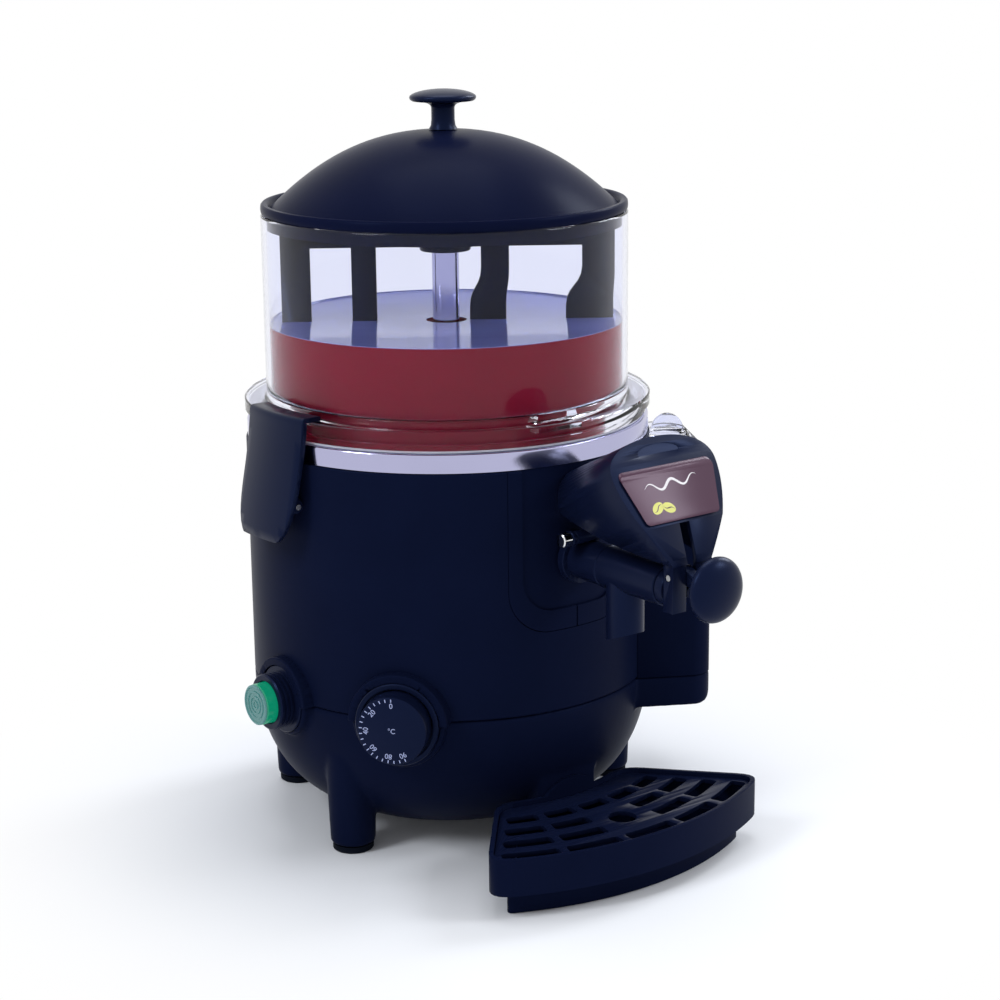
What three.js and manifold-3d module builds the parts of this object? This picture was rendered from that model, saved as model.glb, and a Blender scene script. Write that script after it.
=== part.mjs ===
// Hot chocolate dispenser: a bain-marie base with a clear bowl, a stirrer, a lever tap and a drip tray.
// Millimetres, +Z up. The bowl's axis is the machine's own axis and the tap points to -Y.
// Angles round the axis are in degrees, from the front (-Y) toward +X.
// A reach is a distance from that axis. What is called proud is measured outward from the body's radius.
import * as THREE from "three";
import { mergeVertices } from "three/addons/utils/BufferGeometryUtils.js";
import Module from "manifold-3d";

const wasm = await Module();
wasm.setup();

// Clearances, edges and facets
const gap = 0.3; // between pieces that touch
const running = 0.4; // round pieces that turn or slide
const overrun = 2; // how far a cutter passes the surface it opens
const bevel = 0.8; // moulded edges
const mergeDistance = 1e-3;
const simplifyBy = 0.07; // how far a dropped vertex may lie from the surface it leaves
const facets = { large: 36, middle: 16, small: 12, tiny: 8 };
const curves = { fine: 6, middle: 4, coarse: 3 };

// Body, base and feet
const body = { radius: 124, wall: 3, height: 147.7, shelfWidth: 16, shelf: 3, curl: 1.5 };
const base = {
  bottom: 11, height: 80.7, flatInset: 50, holeInset: 18, wall: 3, lowWidth: 38, lowRise: 11, highDrop: 33,
  lip: 2.5, lipHeight: 5, lipRoot: 8, outsideSteps: 5, insideSteps: 2,
};
const leg = { angles: [-144, -72, 72, 144], inset: 18, topRadius: 15.5, footRadius: 13.5, rise: 51 };
const pad = { radius: 12.3, height: 4, pegRadius: 5, pegHeight: 6 };
const trayStop = { halfWidth: 22, depth: 16.4, rise: 6, height: 33 };
const underside = { overlap: 12, thickness: 2, slots: 6, slotInner: 22, slotLength: 24, slotHalf: 2.5 };
const screw = { angles: [0, 120, 240], overlap: 6, headRadius: 3.6, head: 1.8, shankRadius: 1.6, bite: 2.4 };

// Bosses on the seam: dial, power button and cable gland
const dial = {
  angle: -51, archRadius: 30, archProud: 6, chinRadius: 28, chinProud: 3.5, rootDepth: 12,
  bezelRadius: 25, bezelProud: 7.5, bezelDepth: 16, bezelBore: 21.6, sinkProud: 4.5,
  knobRadius: 20.7, knobProud: 18, knobEdge: 1.6, shaftRadius: 3, shaftDepth: 28,
};
const thermostat = { halfWidth: 22, halfHeight: 15, depth: 26, bulbRadius: 3, bulbLength: 50 };
const power = {
  angle: -90, archRadius: 25.5, archProud: 5, chinRadius: 23, chinProud: 3, rootDepth: 12,
  bezelRadius: 20.5, neckRadius: 17, bezelProud: 14.5, bezelDepth: 16, ribs: 2, ribWidth: 2.6, ribDepth: 1.1,
  buttonRadius: 12.4, buttonProud: 22.5, buttonDepth: 2, buttonEdge: 1.2, travel: 3,
  blockHalf: 13, blockDepth: 26,
};
const gland = {
  angle: -160, archRadius: 14, archProud: 3.5, chinRadius: 13, chinProud: 2, rootDepth: 12,
  nutRadius: 10, nutProud: 15, throatRadius: 6, boreRadius: 3.6, depth: 10, tipShare: 0.6, domeShare: 0.86,
};

// Water jacket tank and bowl
const tank = { inset: 1, rimHeight: 10.9, depth: 92.9, sheet: 1.2, clearance: 3, holeClearance: 0.4,
  corner: 9 };
const gasket = { inset: 3.5, width: 13.5, thickness: 1.2 };
const bowl = {
  inset: 13.4, wall: 3, wallHeight: 110, flangeHeight: 11.3, flangeStep: 3.8, stepWidth: 2.4,
  cupClearance: 5, cupWall: 3, cupDepth: 52.7, floorWall: 3, corner: 16, cornerCutShare: 0.3,
  ledge: 1, ledgeRim: 3.5, tubeRadius: 12, tubeHeight: 32, tubeClearance: 0.5,
  wellReach: 86, wellRadius: 13, wellDrop: 13.5, wellWall: 2.6, archHalf: 15, archRise: 11, archDepth: 8,
};
const outlet = { radius: 10.4, bore: 8, sealRadius: 13.7, sealDepth: 5, sealProud: 2.4 };
const column = { radius: 8.2, bore: 5.1, tail: 3.2, drop: 24.5, nutRadius: 14, nutHeight: 4.5 };
const columnSeal = { height: 4 };

// Lid
const lid = {
  rimHeight: 6.2, bead: 1.6, skirtDepth: 8, skirtWall: 2.4, skirtClearance: 0.7, domeInset: 5.7,
  domeSeat: 2.9,
  domeHeight: 44.8, domePower: 2.31, wall: 2.2, outsideSteps: 5, insideSteps: 3, crowding: 1.5, stemHole: 4.6,
};
const lidKnob = {
  rise: 24, stemRadius: 7, capRadius: 20, capThickness: 7, capEdge: 2, pegRadius: 4, nutRadius: 8,
  nutHeight: 4,
  crownShare: 0.72, crownDropShare: 0.7,
};

// Stirrer and its drive
const stirrer = {
  angle: 53.5, half: 2, topDrop: 12, crossBar: 10, floorClearance: 8, footBar: 12, footCut: 6, neckRise: 3,
  cupClearance: 3, neckBar: 18, leftClearance: 7.6, leftSide: 18, leftBar: [42, 57],
  rightClearance: 4.6, rightSide: 20, rightBar: [21.5, 38.5],
  bulgeDrop: 47, bulgeBlend: 12, bulgeClearance: 5.6, bulgeSide: 29, bulgeBar: [14.5, 36.5],
  eyeRadius: 16, eyeHeight: 11,
};
const hub = { radius: 11.2, flangeRadius: 15.5, rise: 4 };
const shaft = { radius: 4.7 };
const gearMotor = {
  seatRise: 2.6, boxRadius: 33, boxHeight: 26, bossRadius: 12, bossHeight: 8, boreDepth: 6.3,
  canRadius: 21, canHeight: 24, lugLength: 40, lugHalf: 5, lugHeight: 3,
};
const bracket = { half: 24, length: 45, sheet: 2, foot: 9 };
const heater = { ringRadius: 62, tubeRadius: 4, tail: 14, steps: 18, sides: 6 };
const cutout = { radius: 9, height: 6, ring: 36, angle: 40 };
const terminal = { halfWidth: 18, halfDepth: 7, height: 12, pitch: 10.5, poles: 3, angle: 180 };

// Front panel and tap
const panel = {
  half: 44.6, drop: 42.8, corner: 26, seam: 0.5, insetHalf: 36, insetDrop: 30, insetCorner: 20,
  insetDepth: 1.5, lip: 4, lipWall: 2.6, slitHalf: 0.5,
};
const tap = {
  drop: 55.7, radius: 12, proud: 79, bore: 9, seatProud: 16, seatRadius: 6.2, seatWidth: 8,
  collarRadius: 15, collarProud: 5, beadProud: 28, beadRadius: 12.7, beadWidth: 2,
  spoutProud: 42.5, spoutRadius: 11, spoutBore: 8.6, mouthDrop: 38, mouthTilt: 20,
};
const crossPin = {
  proud: 12, rise: 15.5, tubeRadius: 4, left: -12.6, right: 19, pinRadius: 2.5, headRadius: 4.2,
  headTip: -22.6, headLength: 9.4, flutes: 12, fluteDepth: 0.5, fluteSides: 4,
};
const cap = { radius: 11, thickness: 6, spigotLength: 6 };
const plug = { length: 9.4, rodRadius: 1.5, headRadius: 3.1, head: 2.4, grooveDepth: 1.3, grooveWidth: 2.4 };
const ring = { section: 1.1 };
const spring = { radius: 6.9, wire: 0.7, turns: 6, steps: 7, sides: 2 };
const cover = {
  tilt: 31.1, lowTilt: 18, roofTilt: 25, planeAhead: 2.2, planeRise: 56, wall: 2.6, top: 31, wide: 38,
  wideAt: 12, narrow: 15, narrowAt: -42, tail: 4, neck: 11, frontAhead: 18.5, skirtHalf: 13.4, skirtDepth: 8,
  skirtDrop: 10, skirtTop: 5.2, backTrim: 28, frontTrim: 17, slotRise: 39, waistWidthShare: 0.7,
  waistHeightShare: 0.62, shoulderShare: 0.8, crownShare: 0.55, curveSteps: 5,
};
const label = {
  topHalf: 34.6, bottomHalf: 26.4, low: -16, high: 14.4, corner: 3, slantShare: 0.25, thickness: 2.4,
  edge: 0.9,
  pegRadius: 3,
};
const lever = {
  pivotAhead: 14, pivotRise: 9.6, hubRadius: 5, pinRadius: 1.8, half: 3.2, forkHalf: 1.8, forkLength: 11.5,
  forkThick: 3, armHalf: 4, armLength: 12, stemRadius: 3.4, stemLength: 21, knobAhead: 24, knobRise: 6,
  knobRadius: 18.6, knobFront: 8.5, knobBack: 6.5, knobSteps: 4,
};

// Latches
const latch = {
  angles: [-90, 112], half: 28, thick: 2.8, hookDepth: 8.5, faceProud: 4.2, backClearance: 0.7,
  tongueProud: 16,
  tongueDrop: 45.7, tongueHalf: 12, shoulderDrop: 7.7, pivotProud: 3.4, pivotDrop: 24.7, pinRadius: 1.8,
  pinEnd: 1.6, earInner: 20.8, earWidth: 3.2, earRadius: 4, webShare: 0.7, knuckleRadius: 3.3,
};

// Water pod on the right side
const pod = {
  angle: 60, half: 64, proud: 30, rootDepth: 20, corner: 13, wall: 2.6, drop: 19, topDrop: 35.7,
  bottomEdge: 7,
};
const vessel = {
  half: 33, proud: 28, topDrop: 8.7, corner: 8, wall: 2, edge: 1.5, neckProud: 13.6, neckRadius: 9.7,
  nubRadius: 3, nubLength: 4, nubDrop: 7, nubTipShare: 0.7,
};
const filler = { radius: 12.6, plate: 2, plugDepth: 5, gripRadius: 10, gripHalf: 1.6, gripSteps: 8 };
const rocker = {
  offset: -22, rise: 0.6, height: 21, halfWidth: 7.5, rim: 2, frameProud: 1.8, frameDepth: 12,
  pivotDepth: 0.4,
  crown: 4.2, crownDrop: 1.9, wellShare: 1.5, creaseShare: 0.5, footShare: 0.25,
};

// Drip tray
const tray = {
  inset: 7.3, depth: 84.3, splay: 41, sideOffset: 33.2, bottom: 0.6, band: 15, top: 37, corner: 14, wall: 2.6,
  step: 10, floor: 2.4, ledgeDrop: 5.4, ledgeWall: 2.4, tabRadius: 25, tabCentre: 21, tabSteps: 10,
  arcSteps: 10,
};
const grille = {
  thickness: 2.6, clearance: 0.6, rows: 4, rowStart: 22, rowPitch: 17.2, slots: 5, slotHalf: 4.8, rib: 4.8,
  edge: 2.4, corner: 1.8, holeStart: 47.8, holeRadius: 8.5, holeSteps: 5, arcSteps: 2,
};

// Levels, from the table up
const seam = base.bottom + base.height;
const bodyBottom = seam + gap;
const bodyTop = bodyBottom + body.height;
const tankFoot = bodyTop + gap;
const tankRim = tankFoot + tank.rimHeight;
const tankBottom = tankRim - tank.depth;
const gasketFoot = tankRim + gap;
const bowlFlange = gasketFoot + gasket.thickness + gap;
const flangeTop = bowlFlange + bowl.flangeHeight;
const bowlLedge = flangeTop + bowl.ledge;
const bowlRim = flangeTop + bowl.wallHeight;
const bowlFloor = bowlFlange - bowl.cupDepth;
const tubeTop = bowlFloor + bowl.tubeHeight;
const lidLow = bowlRim + gap;
const domeFoot = lidLow + lid.domeSeat;
const knobTop = domeFoot + lid.domeHeight + lidKnob.rise;
const stirrerTop = bowlRim - stirrer.topDrop;
const eyeFoot = stirrerTop - (stirrer.eyeHeight + stirrer.crossBar) / 2;
const hubTop = stirrerTop + hub.rise;
const columnTop = bowlRim - column.drop;
const motorSeat = seam + gearMotor.seatRise;
const motorTop = motorSeat + gearMotor.boxHeight + gearMotor.bossHeight;
const shaftFoot = motorTop - gearMotor.boreDepth;
const insideFloor = base.bottom + base.wall + gap;
const tapHeight = bodyTop - tap.drop;
const pinHeight = tapHeight + crossPin.rise;
const leverPivot = tapHeight + lever.pivotRise;
const leverKnobHeight = tapHeight + lever.knobRise;
const latchSill = flangeTop + gap;
const latchPivot = bodyTop - latch.pivotDrop;
const podTop = bodyTop - pod.topDrop;
const vesselTop = bodyTop - vessel.topDrop;
const rockerLow = bodyBottom + rocker.rise;
const trayLedge = tray.top - tray.ledgeDrop;

// Radii and reaches
const proud = (amount) => body.radius + amount;
const shelfRadius = body.radius - body.shelfWidth;
const shellInner = body.radius - body.wall;
const baseFlat = body.radius - base.flatInset;
const baseHole = baseFlat - base.holeInset;
const screwRing = baseHole + screw.overlap;
const legRing = body.radius - leg.inset;
const tankWall = shelfRadius - tank.clearance;
const tankInner = tankWall - tank.sheet;
const bowlRadius = body.radius - bowl.inset;
const bowlInner = bowlRadius - bowl.wall;
const cupRadius = tankWall - bowl.cupClearance;
const cupInner = cupRadius - bowl.cupWall;
const lidRadius = bowlRadius - gap;
const domeEdge = lidRadius - lid.domeInset;
const outletTip = shellInner - 2 * gap;
const sealFront = tankWall + outlet.sealProud;
const tapFront = proud(tap.proud);
const spoutReach = proud(tap.spoutProud);
const capFront = tapFront + gap + cap.thickness;
const spigotBack = tapFront - cap.spigotLength;
const pivotReach = tapFront + lever.pivotAhead;
const leverKnobReach = pivotReach + lever.knobAhead;
const coverFront = tapFront + cover.frontAhead;
const podReach = proud(pod.proud);
const podRoot = body.radius - pod.rootDepth;
const vesselReach = proud(vessel.proud);
const neckReach = proud(vessel.neckProud);
const trayInner = body.radius - tray.inset;
const trayOuter = trayInner + tray.depth;

const plastic = (color, roughness) => new THREE.MeshStandardMaterial({ color, roughness, metalness: 0 });
const metal = (color, roughness) => new THREE.MeshStandardMaterial({ color, roughness, metalness: 1 });
const finish = {
  shell: plastic(0x16171c, 0.45),
  trim: plastic(0x1d1e24, 0.35),
  rubber: plastic(0x0c0c0d, 0.85),
  clear: new THREE.MeshStandardMaterial({ color: 0xdfe0f2, roughness: 0.08, transparent: true,
  opacity: 0.35 }),
  seal: plastic(0xd9d9de, 0.6),
  steel: metal(0xc9ccd2, 0.25),
  chrome: metal(0xe2e4e8, 0.1),
  zinc: metal(0x9a9da2, 0.45),
  label: plastic(0x5b2f2b, 0.25),
  lens: plastic(0x1f9a6b, 0.2),
};

const radians = THREE.MathUtils.degToRad;
const degrees = THREE.MathUtils.radToDeg;
const fullTurn = 2 * Math.PI;

// A closed mesh as a solid, without its collapsed faces and with its faces pointing out.
function solid(geometry) {
  const bare = geometry.index ? geometry.toNonIndexed() : geometry.clone();
  bare.deleteAttribute("normal");
  bare.deleteAttribute("uv");
  const merged = mergeVertices(bare, mergeDistance);
  const index = merged.index.array;
  const kept = [];
  for (let i = 0; i < index.length; i += 3) {
    const [a, b, c] = [index[i], index[i + 1], index[i + 2]];
    if (a !== b && b !== c && c !== a) kept.push(a, b, c);
  }
  const vertProperties = merged.attributes.position.array;
  const make = (corners) =>
    new wasm.Manifold(new wasm.Mesh({ numProp: 3, vertProperties, triVerts: new Uint32Array(corners) }));
  const made = make(kept);
  return made.volume() < 0 ? make(kept.reverse()) : made;
}

// A solid as a geometry that three.js draws.
function geometryOf(made) {
  const mesh = made.getMesh();
  const corners = new Float32Array(mesh.numVert * 3);
  for (let i = 0; i < mesh.numVert; i++) {
    corners.set(mesh.vertProperties.subarray(i * mesh.numProp, i * mesh.numProp + 3), i * 3);
  }
  const geometry = new THREE.BufferGeometry();
  geometry.setAttribute("position", new THREE.BufferAttribute(corners, 3));
  geometry.setIndex(new THREE.BufferAttribute(mesh.triVerts, 1));
  const flat = geometry.toNonIndexed();
  flat.computeVertexNormals();
  return flat;
}

const union = (pieces) => pieces.reduce((whole, piece) => whole.add(piece));

// [radius, height] points turned round the Z axis.
function turned(points, count) {
  const outline = points.map(([radius, height]) => new THREE.Vector2(radius, height));
  return solid(new THREE.LatheGeometry([...outline, outline[0]], count).rotateX(Math.PI / 2));
}

// A disc or drum on the Z axis.
const drum = (radius, [low, high], count = facets.large) =>
  turned([[0, low], [radius, low], [radius, high], [0, high]], count);

// A ring on the Z axis.
const band = ([inner, outer], [low, high], count = facets.large) =>
  turned([[inner, low], [outer, low], [outer, high], [inner, high]], count);

// [radius, reach] points turned round the line that points outward (-Y) at a height.
function turnedOutward(points, height, count) {
  const outline = points.map(([radius, reach]) => new THREE.Vector2(radius, -reach));
  return solid(new THREE.LatheGeometry([...outline, outline[0]], count).translate(0, 0, height));
}

// A round bar that points outward at a height.
const stub = (radius, [back, front], height, count) =>
  turnedOutward([[0, back], [0, front], [radius, front], [radius, back]], height, count);

// A rod along X, by its two ends.
function crossRod(radius, [left, right], reach, height, count) {
  const rod = new THREE.CylinderGeometry(radius, radius, right - left, count);
  return solid(rod.rotateZ(Math.PI / 2).translate((left + right) / 2, -reach, height));
}

// A round bar along Z at a reach and angle.
function post(radius, [low, high], reach, angle, count, topRadius = radius) {
  const bar = new THREE.CylinderGeometry(topRadius, radius, high - low, count).rotateX(Math.PI / 2);
  const [x, y] = polar(reach, angle);
  return solid(bar.translate(x, y, (low + high) / 2));
}

function block([x0, x1], [y0, y1], [z0, z1]) {
  const box = new THREE.BoxGeometry(x1 - x0, y1 - y0, z1 - z0);
  return solid(box.translate((x0 + x1) / 2, (y0 + y1) / 2, (z0 + z1) / 2));
}

function extruded(shape, depth, edge = 0, curveSegments = curves.middle) {
  return new THREE.ExtrudeGeometry(shape, {
    depth: depth - 2 * edge, bevelEnabled: edge > 0, bevelThickness: edge, bevelSize: edge,
    bevelOffset: -edge, bevelSegments: 1, curveSegments,
  }).translate(0, 0, edge);
}

// A plan outline raised from one height to another.
const raised = (shape, [low, high], edge, steps) =>
  solid(extruded(shape, high - low, edge, steps).translate(0, 0, low));

// A front view outline, in X and Z, from one reach to another.
const fronted = (shape, [near, far], edge, steps) =>
  solid(extruded(shape, far - near, edge, steps).rotateX(Math.PI / 2).translate(0, -near, 0));

// A side view outline, in Y and Z, across a width.
function sided(shape, [left, right], edge, steps) {
  const turn = new THREE.Matrix4().makeBasis(
    new THREE.Vector3(0, 1, 0), new THREE.Vector3(0, 0, 1), new THREE.Vector3(1, 0, 0),
  );
  return solid(extruded(shape, right - left, edge, steps).applyMatrix4(turn).translate(left, 0, 0));
}

const polar = (reach, angle) => [reach * Math.sin(radians(angle)), -reach * Math.cos(radians(angle))];
const outlineOf = (points) => new THREE.Shape(points.map(([x, y]) => new THREE.Vector2(x, y)));
const disc = (x, y, radius) => new THREE.Shape().absarc(x, y, radius, 0, fullTurn);
const turnedTo = (made, angle) => made.rotate([0, 0, angle]);

// A rectangle with rounded corners: radii for the low and the high corners.
function roundedBox([x0, x1], [y0, y1], low, high) {
  const shape = new THREE.Shape();
  shape.moveTo(x0 + low, y0).lineTo(x1 - low, y0);
  if (low > 0) shape.quadraticCurveTo(x1, y0, x1, y0 + low);
  shape.lineTo(x1, y1 - high);
  if (high > 0) shape.quadraticCurveTo(x1, y1, x1 - high, y1);
  shape.lineTo(x0 + high, y1);
  if (high > 0) shape.quadraticCurveTo(x0, y1, x0, y1 - high);
  shape.lineTo(x0, y0 + low);
  if (low > 0) shape.quadraticCurveTo(x0, y0, x0 + low, y0);
  return shape;
}

// Points along an arc round the machine axis.
function arc(radius, from, to, steps) {
  return Array.from({ length: steps + 1 }, (_, i) => polar(radius, from + ((to - from) * i) / steps));
}

// The angle at which the tray's side, drawn in by a distance, crosses a radius.
const sideAngle = (radius, inset) => tray.splay - degrees(Math.asin((tray.sideOffset + inset) / radius));

// Plan of the tray, drawn in by a distance all round: two arcs and two sides that splay, with rounded
// corners.
function trayPlan(inset) {
  const [inner, outer, corner] = [trayInner + inset, trayOuter - inset, Math.max(tray.corner - inset, bevel)];
  const edge = (radius, sign) => polar(radius, sign * sideAngle(radius, inset));
  const onArc = (radius) => sideAngle(radius, inset) - degrees(corner / radius);
  const shape = outlineOf(arc(outer, -onArc(outer), onArc(outer), tray.arcSteps));
  shape.quadraticCurveTo(...edge(outer, 1), ...edge(outer - corner, 1)).lineTo(...edge(inner + corner, 1));
  shape.quadraticCurveTo(...edge(inner, 1), ...polar(inner, onArc(inner)));
  arc(inner, onArc(inner), -onArc(inner), tray.arcSteps).slice(1).forEach((p) => shape.lineTo(...p));
  shape.quadraticCurveTo(...edge(inner, -1), ...edge(inner + corner, -1)).lineTo(...edge(outer - corner, -1));
  shape.quadraticCurveTo(...edge(outer, -1), ...polar(outer, -onArc(outer)));
  return shape;
}

const machine = new THREE.Group();

function addTo(parent, name, made, material) {
  const mesh = new THREE.Mesh(geometryOf(made.simplify(simplifyBy)), material);
  mesh.name = name;
  parent.add(mesh);
}

const add = (name, made, material) => addTo(machine, name, made, material);

// A group whose -Y points outward at an angle.
function frameAt(angle) {
  const group = new THREE.Group();
  group.rotation.z = radians(angle);
  machine.add(group);
  return group;
}

// The base's swelling side, from its flat bottom to the seam, drawn in by a wall.
function baseSide(inset, steps) {
  const curve = new THREE.CubicBezierCurve(
    new THREE.Vector2(baseFlat, base.bottom + inset),
    new THREE.Vector2(baseFlat + base.lowWidth - inset, base.bottom + base.lowRise + inset),
    new THREE.Vector2(body.radius - inset, seam - base.highDrop),
    new THREE.Vector2(body.radius - inset, seam - (inset ? base.lipRoot + base.lip : bevel)),
  );
  return curve.getPoints(steps).map((p) => [p.x, p.y]);
}

// A round boss across the seam: above it the arch, below it the chin.
function boss(radius, root, front) {
  return turnedOutward([[0, root], [0, front], [radius - bevel, front], [radius, front - bevel],
    [radius, root]],
    seam, facets.middle);
}

const bossRoot = (part) => body.radius - part.rootDepth;
const archBoss = (part) => boss(part.archRadius, bossRoot(part), proud(part.archProud));
const chinBoss = (part) => boss(part.chinRadius, bossRoot(part), proud(part.chinProud));
const bossHole = (radius, part) =>
  stub(radius + gap, [bossRoot(part) - overrun, proud(part.archProud) + overrun], seam, facets.middle);

const bosses = [[dial, dial.bezelRadius], [power, power.bezelRadius], [gland, gland.throatRadius]];

// The space inside the bosses' roots, kept free for what is fitted there.
const hollowCore = () => drum(bossRoot(dial), [0, bodyTop]);

// Plan of the pod, drawn in by a wall.
function podPlan(inset, back) {
  const across = [-pod.half + inset, pod.half - inset];
  return roundedBox(across, [-podReach + inset, -back], pod.corner - inset, 0);
}

function makeLegs(hollow) {
  return leg.angles.map((angle) => {
    const span = [pad.height + gap, base.bottom + leg.rise];
    return post(leg.footRadius, span, legRing, angle, facets.middle, leg.topRadius).subtract(hollow);
  });
}

function makePegHoles() {
  const span = [0, pad.height + pad.pegHeight + 2 * gap];
  return leg.angles.map((angle) => post(pad.pegRadius + gap, span, legRing, angle, facets.small));
}

// The pod's lower part, moulded with the base.
function makePodTray(hollow) {
  const low = seam - pod.drop;
  const outer = raised(podPlan(0, podRoot), [low, seam]);
  const round = sided(roundedBox([-podReach, 0], [low, seam + pod.bottomEdge], pod.bottomEdge, 0),
    [-pod.half, pod.half]);
  return turnedTo(outer.intersect(round), pod.angle).subtract(hollow);
}

function makePodRoom() {
  const span = [seam - pod.drop + pod.wall, seam + overrun];
  return turnedTo(raised(podPlan(pod.wall, body.radius), span), pod.angle);
}

// The stop under the base that the tray's tab meets.
function makeTrayStop(hollow) {
  const reach = trayInner - gap;
  const span = [base.bottom + trayStop.rise, base.bottom + trayStop.rise + trayStop.height];
  const stop = block([-trayStop.halfWidth, trayStop.halfWidth], [-reach, -reach + trayStop.depth], span);
  return stop.intersect(drum(reach, span)).subtract(hollow);
}

const makeScrewHoles = (span) =>
  union(screw.angles.map((angle) => post(screw.shankRadius + gap, span, screwRing, angle, facets.tiny)));

function makeBaseShell() {
  const lipOuter = shellInner - gap;
  const lipInner = lipOuter - base.lip;
  const inside = baseSide(base.wall, base.insideSteps);
  const shell = turned([
    [baseHole, base.bottom], ...baseSide(0, base.outsideSteps), [body.radius - bevel, seam], [lipOuter, seam],
    [lipOuter, seam + base.lipHeight], [lipInner, seam + base.lipHeight], [lipInner, seam - base.lipRoot],
    ...inside.reverse(), [baseHole, base.bottom + base.wall],
  ], facets.large);
  const hollow = turned([[0, base.bottom], ...inside.reverse(), [lipInner, seam - base.lipRoot],
    [lipInner, seam + overrun], [0, seam + overrun]], facets.large);
  const chins = bosses.map(([part]) =>
    turnedTo(chinBoss(part).trimByPlane([0, 0, -1], -seam).subtract(hollowCore()), part.angle));
  const holes = bosses.map(([part, radius]) => turnedTo(bossHole(radius, part), part.angle));
  return union([shell, ...makeLegs(hollow), makePodTray(hollow), makeTrayStop(hollow), ...chins])
    .subtract(union([makePodRoom(), ...makePegHoles(), ...holes]))
    .subtract(makeScrewHoles([base.bottom - overrun, base.bottom + base.wall + overrun]));
}

const panelOutline = (half, bottom, corner, top) => roundedBox([-half, half], [bottom, top], corner, 0);

function makeBodyShell() {
  const shell = turned([
    [shellInner, bodyBottom], [body.radius - bevel, bodyBottom], [body.radius, bodyBottom + bevel],
    [body.radius, bodyTop - body.curl], [body.radius - body.curl, bodyTop], [shelfRadius, bodyTop],
    [shelfRadius, bodyTop - body.shelf], [shellInner, bodyTop - body.shelf],
  ], facets.large);
  const lipRoom = drum(shellInner, [0, bodyBottom + base.lipHeight + gap]);
  const arches = bosses.map(([part]) =>
    turnedTo(archBoss(part).trimByPlane([0, 0, 1], bodyBottom).subtract(hollowCore()), part.angle));
  const holes = bosses.map(([part, radius]) => turnedTo(bossHole(radius, part), part.angle));
  const opening = fronted(panelOutline(panel.half, tapHeight - panel.drop, panel.corner, bodyTop + overrun),
    [0, body.radius + overrun], 0, curves.fine);
  return shell.add(union(arches).subtract(lipRoom)).subtract(union([...holes, opening]));
}

function makeFrontPanel() {
  const half = panel.half - panel.seam;
  const open = tapHeight - panel.drop;
  const low = open + panel.seam;
  const cutTo = (made, outline) => made.intersect(fronted(outline, [0, body.radius + overrun], 0,
    curves.fine));
  const face = turned([[shellInner, low], [body.radius, low], [body.radius, bodyTop - body.curl],
    [body.radius - body.curl, bodyTop], [shellInner, bodyTop]], facets.large);
  const lipOuter = shellInner - gap;
  const lipTop = bodyTop - body.shelf - gap;
  const lip = band([lipOuter - panel.lipWall, lipOuter], [0, lipTop]);
  const bond = band([lipOuter - panel.lipWall, shellInner + gap], [0, lipTop]);
  const recess = band([body.radius - panel.insetDepth, body.radius + overrun], [0, bodyTop + overrun]);
  const insetBottom = tapHeight - panel.insetDrop;
  const slit = block([-panel.slitHalf, panel.slitHalf],
    [-body.radius - overrun, -body.radius + panel.insetDepth],
    [0, insetBottom + overrun]);
  const hole = stub(tap.radius + gap, [0, body.radius + overrun], tapHeight, facets.middle);
  return union([
    cutTo(face, panelOutline(half, low, panel.corner, bodyTop + overrun)),
    cutTo(bond, panelOutline(half, low, panel.corner, lipTop)),
    cutTo(lip, panelOutline(panel.half + panel.lip, open - panel.lip, panel.corner + panel.lip, lipTop)),
  ]).subtract(union([
    cutTo(recess, panelOutline(panel.insetHalf, insetBottom, panel.insetCorner, bodyTop + overrun)), slit,
    hole,
  ]));
}

function makeUnderside() {
  const top = base.bottom - gap;
  const plate = drum(baseHole + underside.overlap, [top - underside.thickness, top], facets.middle);
  const slot = block([-underside.slotHalf, underside.slotHalf],
    [-underside.slotInner - underside.slotLength, -underside.slotInner], [0, base.bottom]);
  const slots = Array.from({ length: underside.slots }, (_, i) =>
    turnedTo(slot, (360 * i) / underside.slots));
  return plate.subtract(union(slots)).subtract(makeScrewHoles([0, base.bottom]));
}

function makeScrew() {
  const seat = base.bottom - underside.thickness - 2 * gap;
  const tip = base.bottom + screw.bite;
  return turned([[0, seat - screw.head], [screw.headRadius / 2, seat - screw.head], [screw.headRadius, seat],
    [screw.shankRadius, seat], [screw.shankRadius, tip], [0, tip]], facets.tiny);
}

function makePad() {
  const top = pad.height + pad.pegHeight;
  return turned([[0, 0], [pad.radius - bevel, 0], [pad.radius, bevel], [pad.radius, pad.height],
    [pad.pegRadius, pad.height], [pad.pegRadius, top], [0, top]], facets.small);
}

function makeTank() {
  const rimRadius = body.radius - tank.inset;
  const rimInner = rimRadius - tank.sheet;
  const columnHole = column.radius + tank.holeClearance;
  const pot = turned([
    [columnHole, tankBottom], [tankWall - tank.corner, tankBottom], [tankWall, tankBottom + tank.corner],
    [tankWall, tankRim - tank.sheet], [rimInner, tankRim - tank.sheet], [rimInner, tankFoot],
    [rimRadius, tankFoot],
    [rimRadius, tankRim - bevel], [rimRadius - bevel, tankRim], [tankInner, tankRim],
    [tankInner, tankBottom + tank.corner], [tankInner - tank.corner, tankBottom + tank.sheet],
    [columnHole, tankBottom + tank.sheet],
  ], facets.large);
  return pot.subtract(stub(outlet.sealRadius + gap, [bowl.wellReach, tankWall + overrun], tapHeight,
    facets.small));
}

function makeGasket() {
  const outer = body.radius - gasket.inset;
  return band([outer - gasket.width, outer], [gasketFoot, gasketFoot + gasket.thickness]);
}

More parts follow.
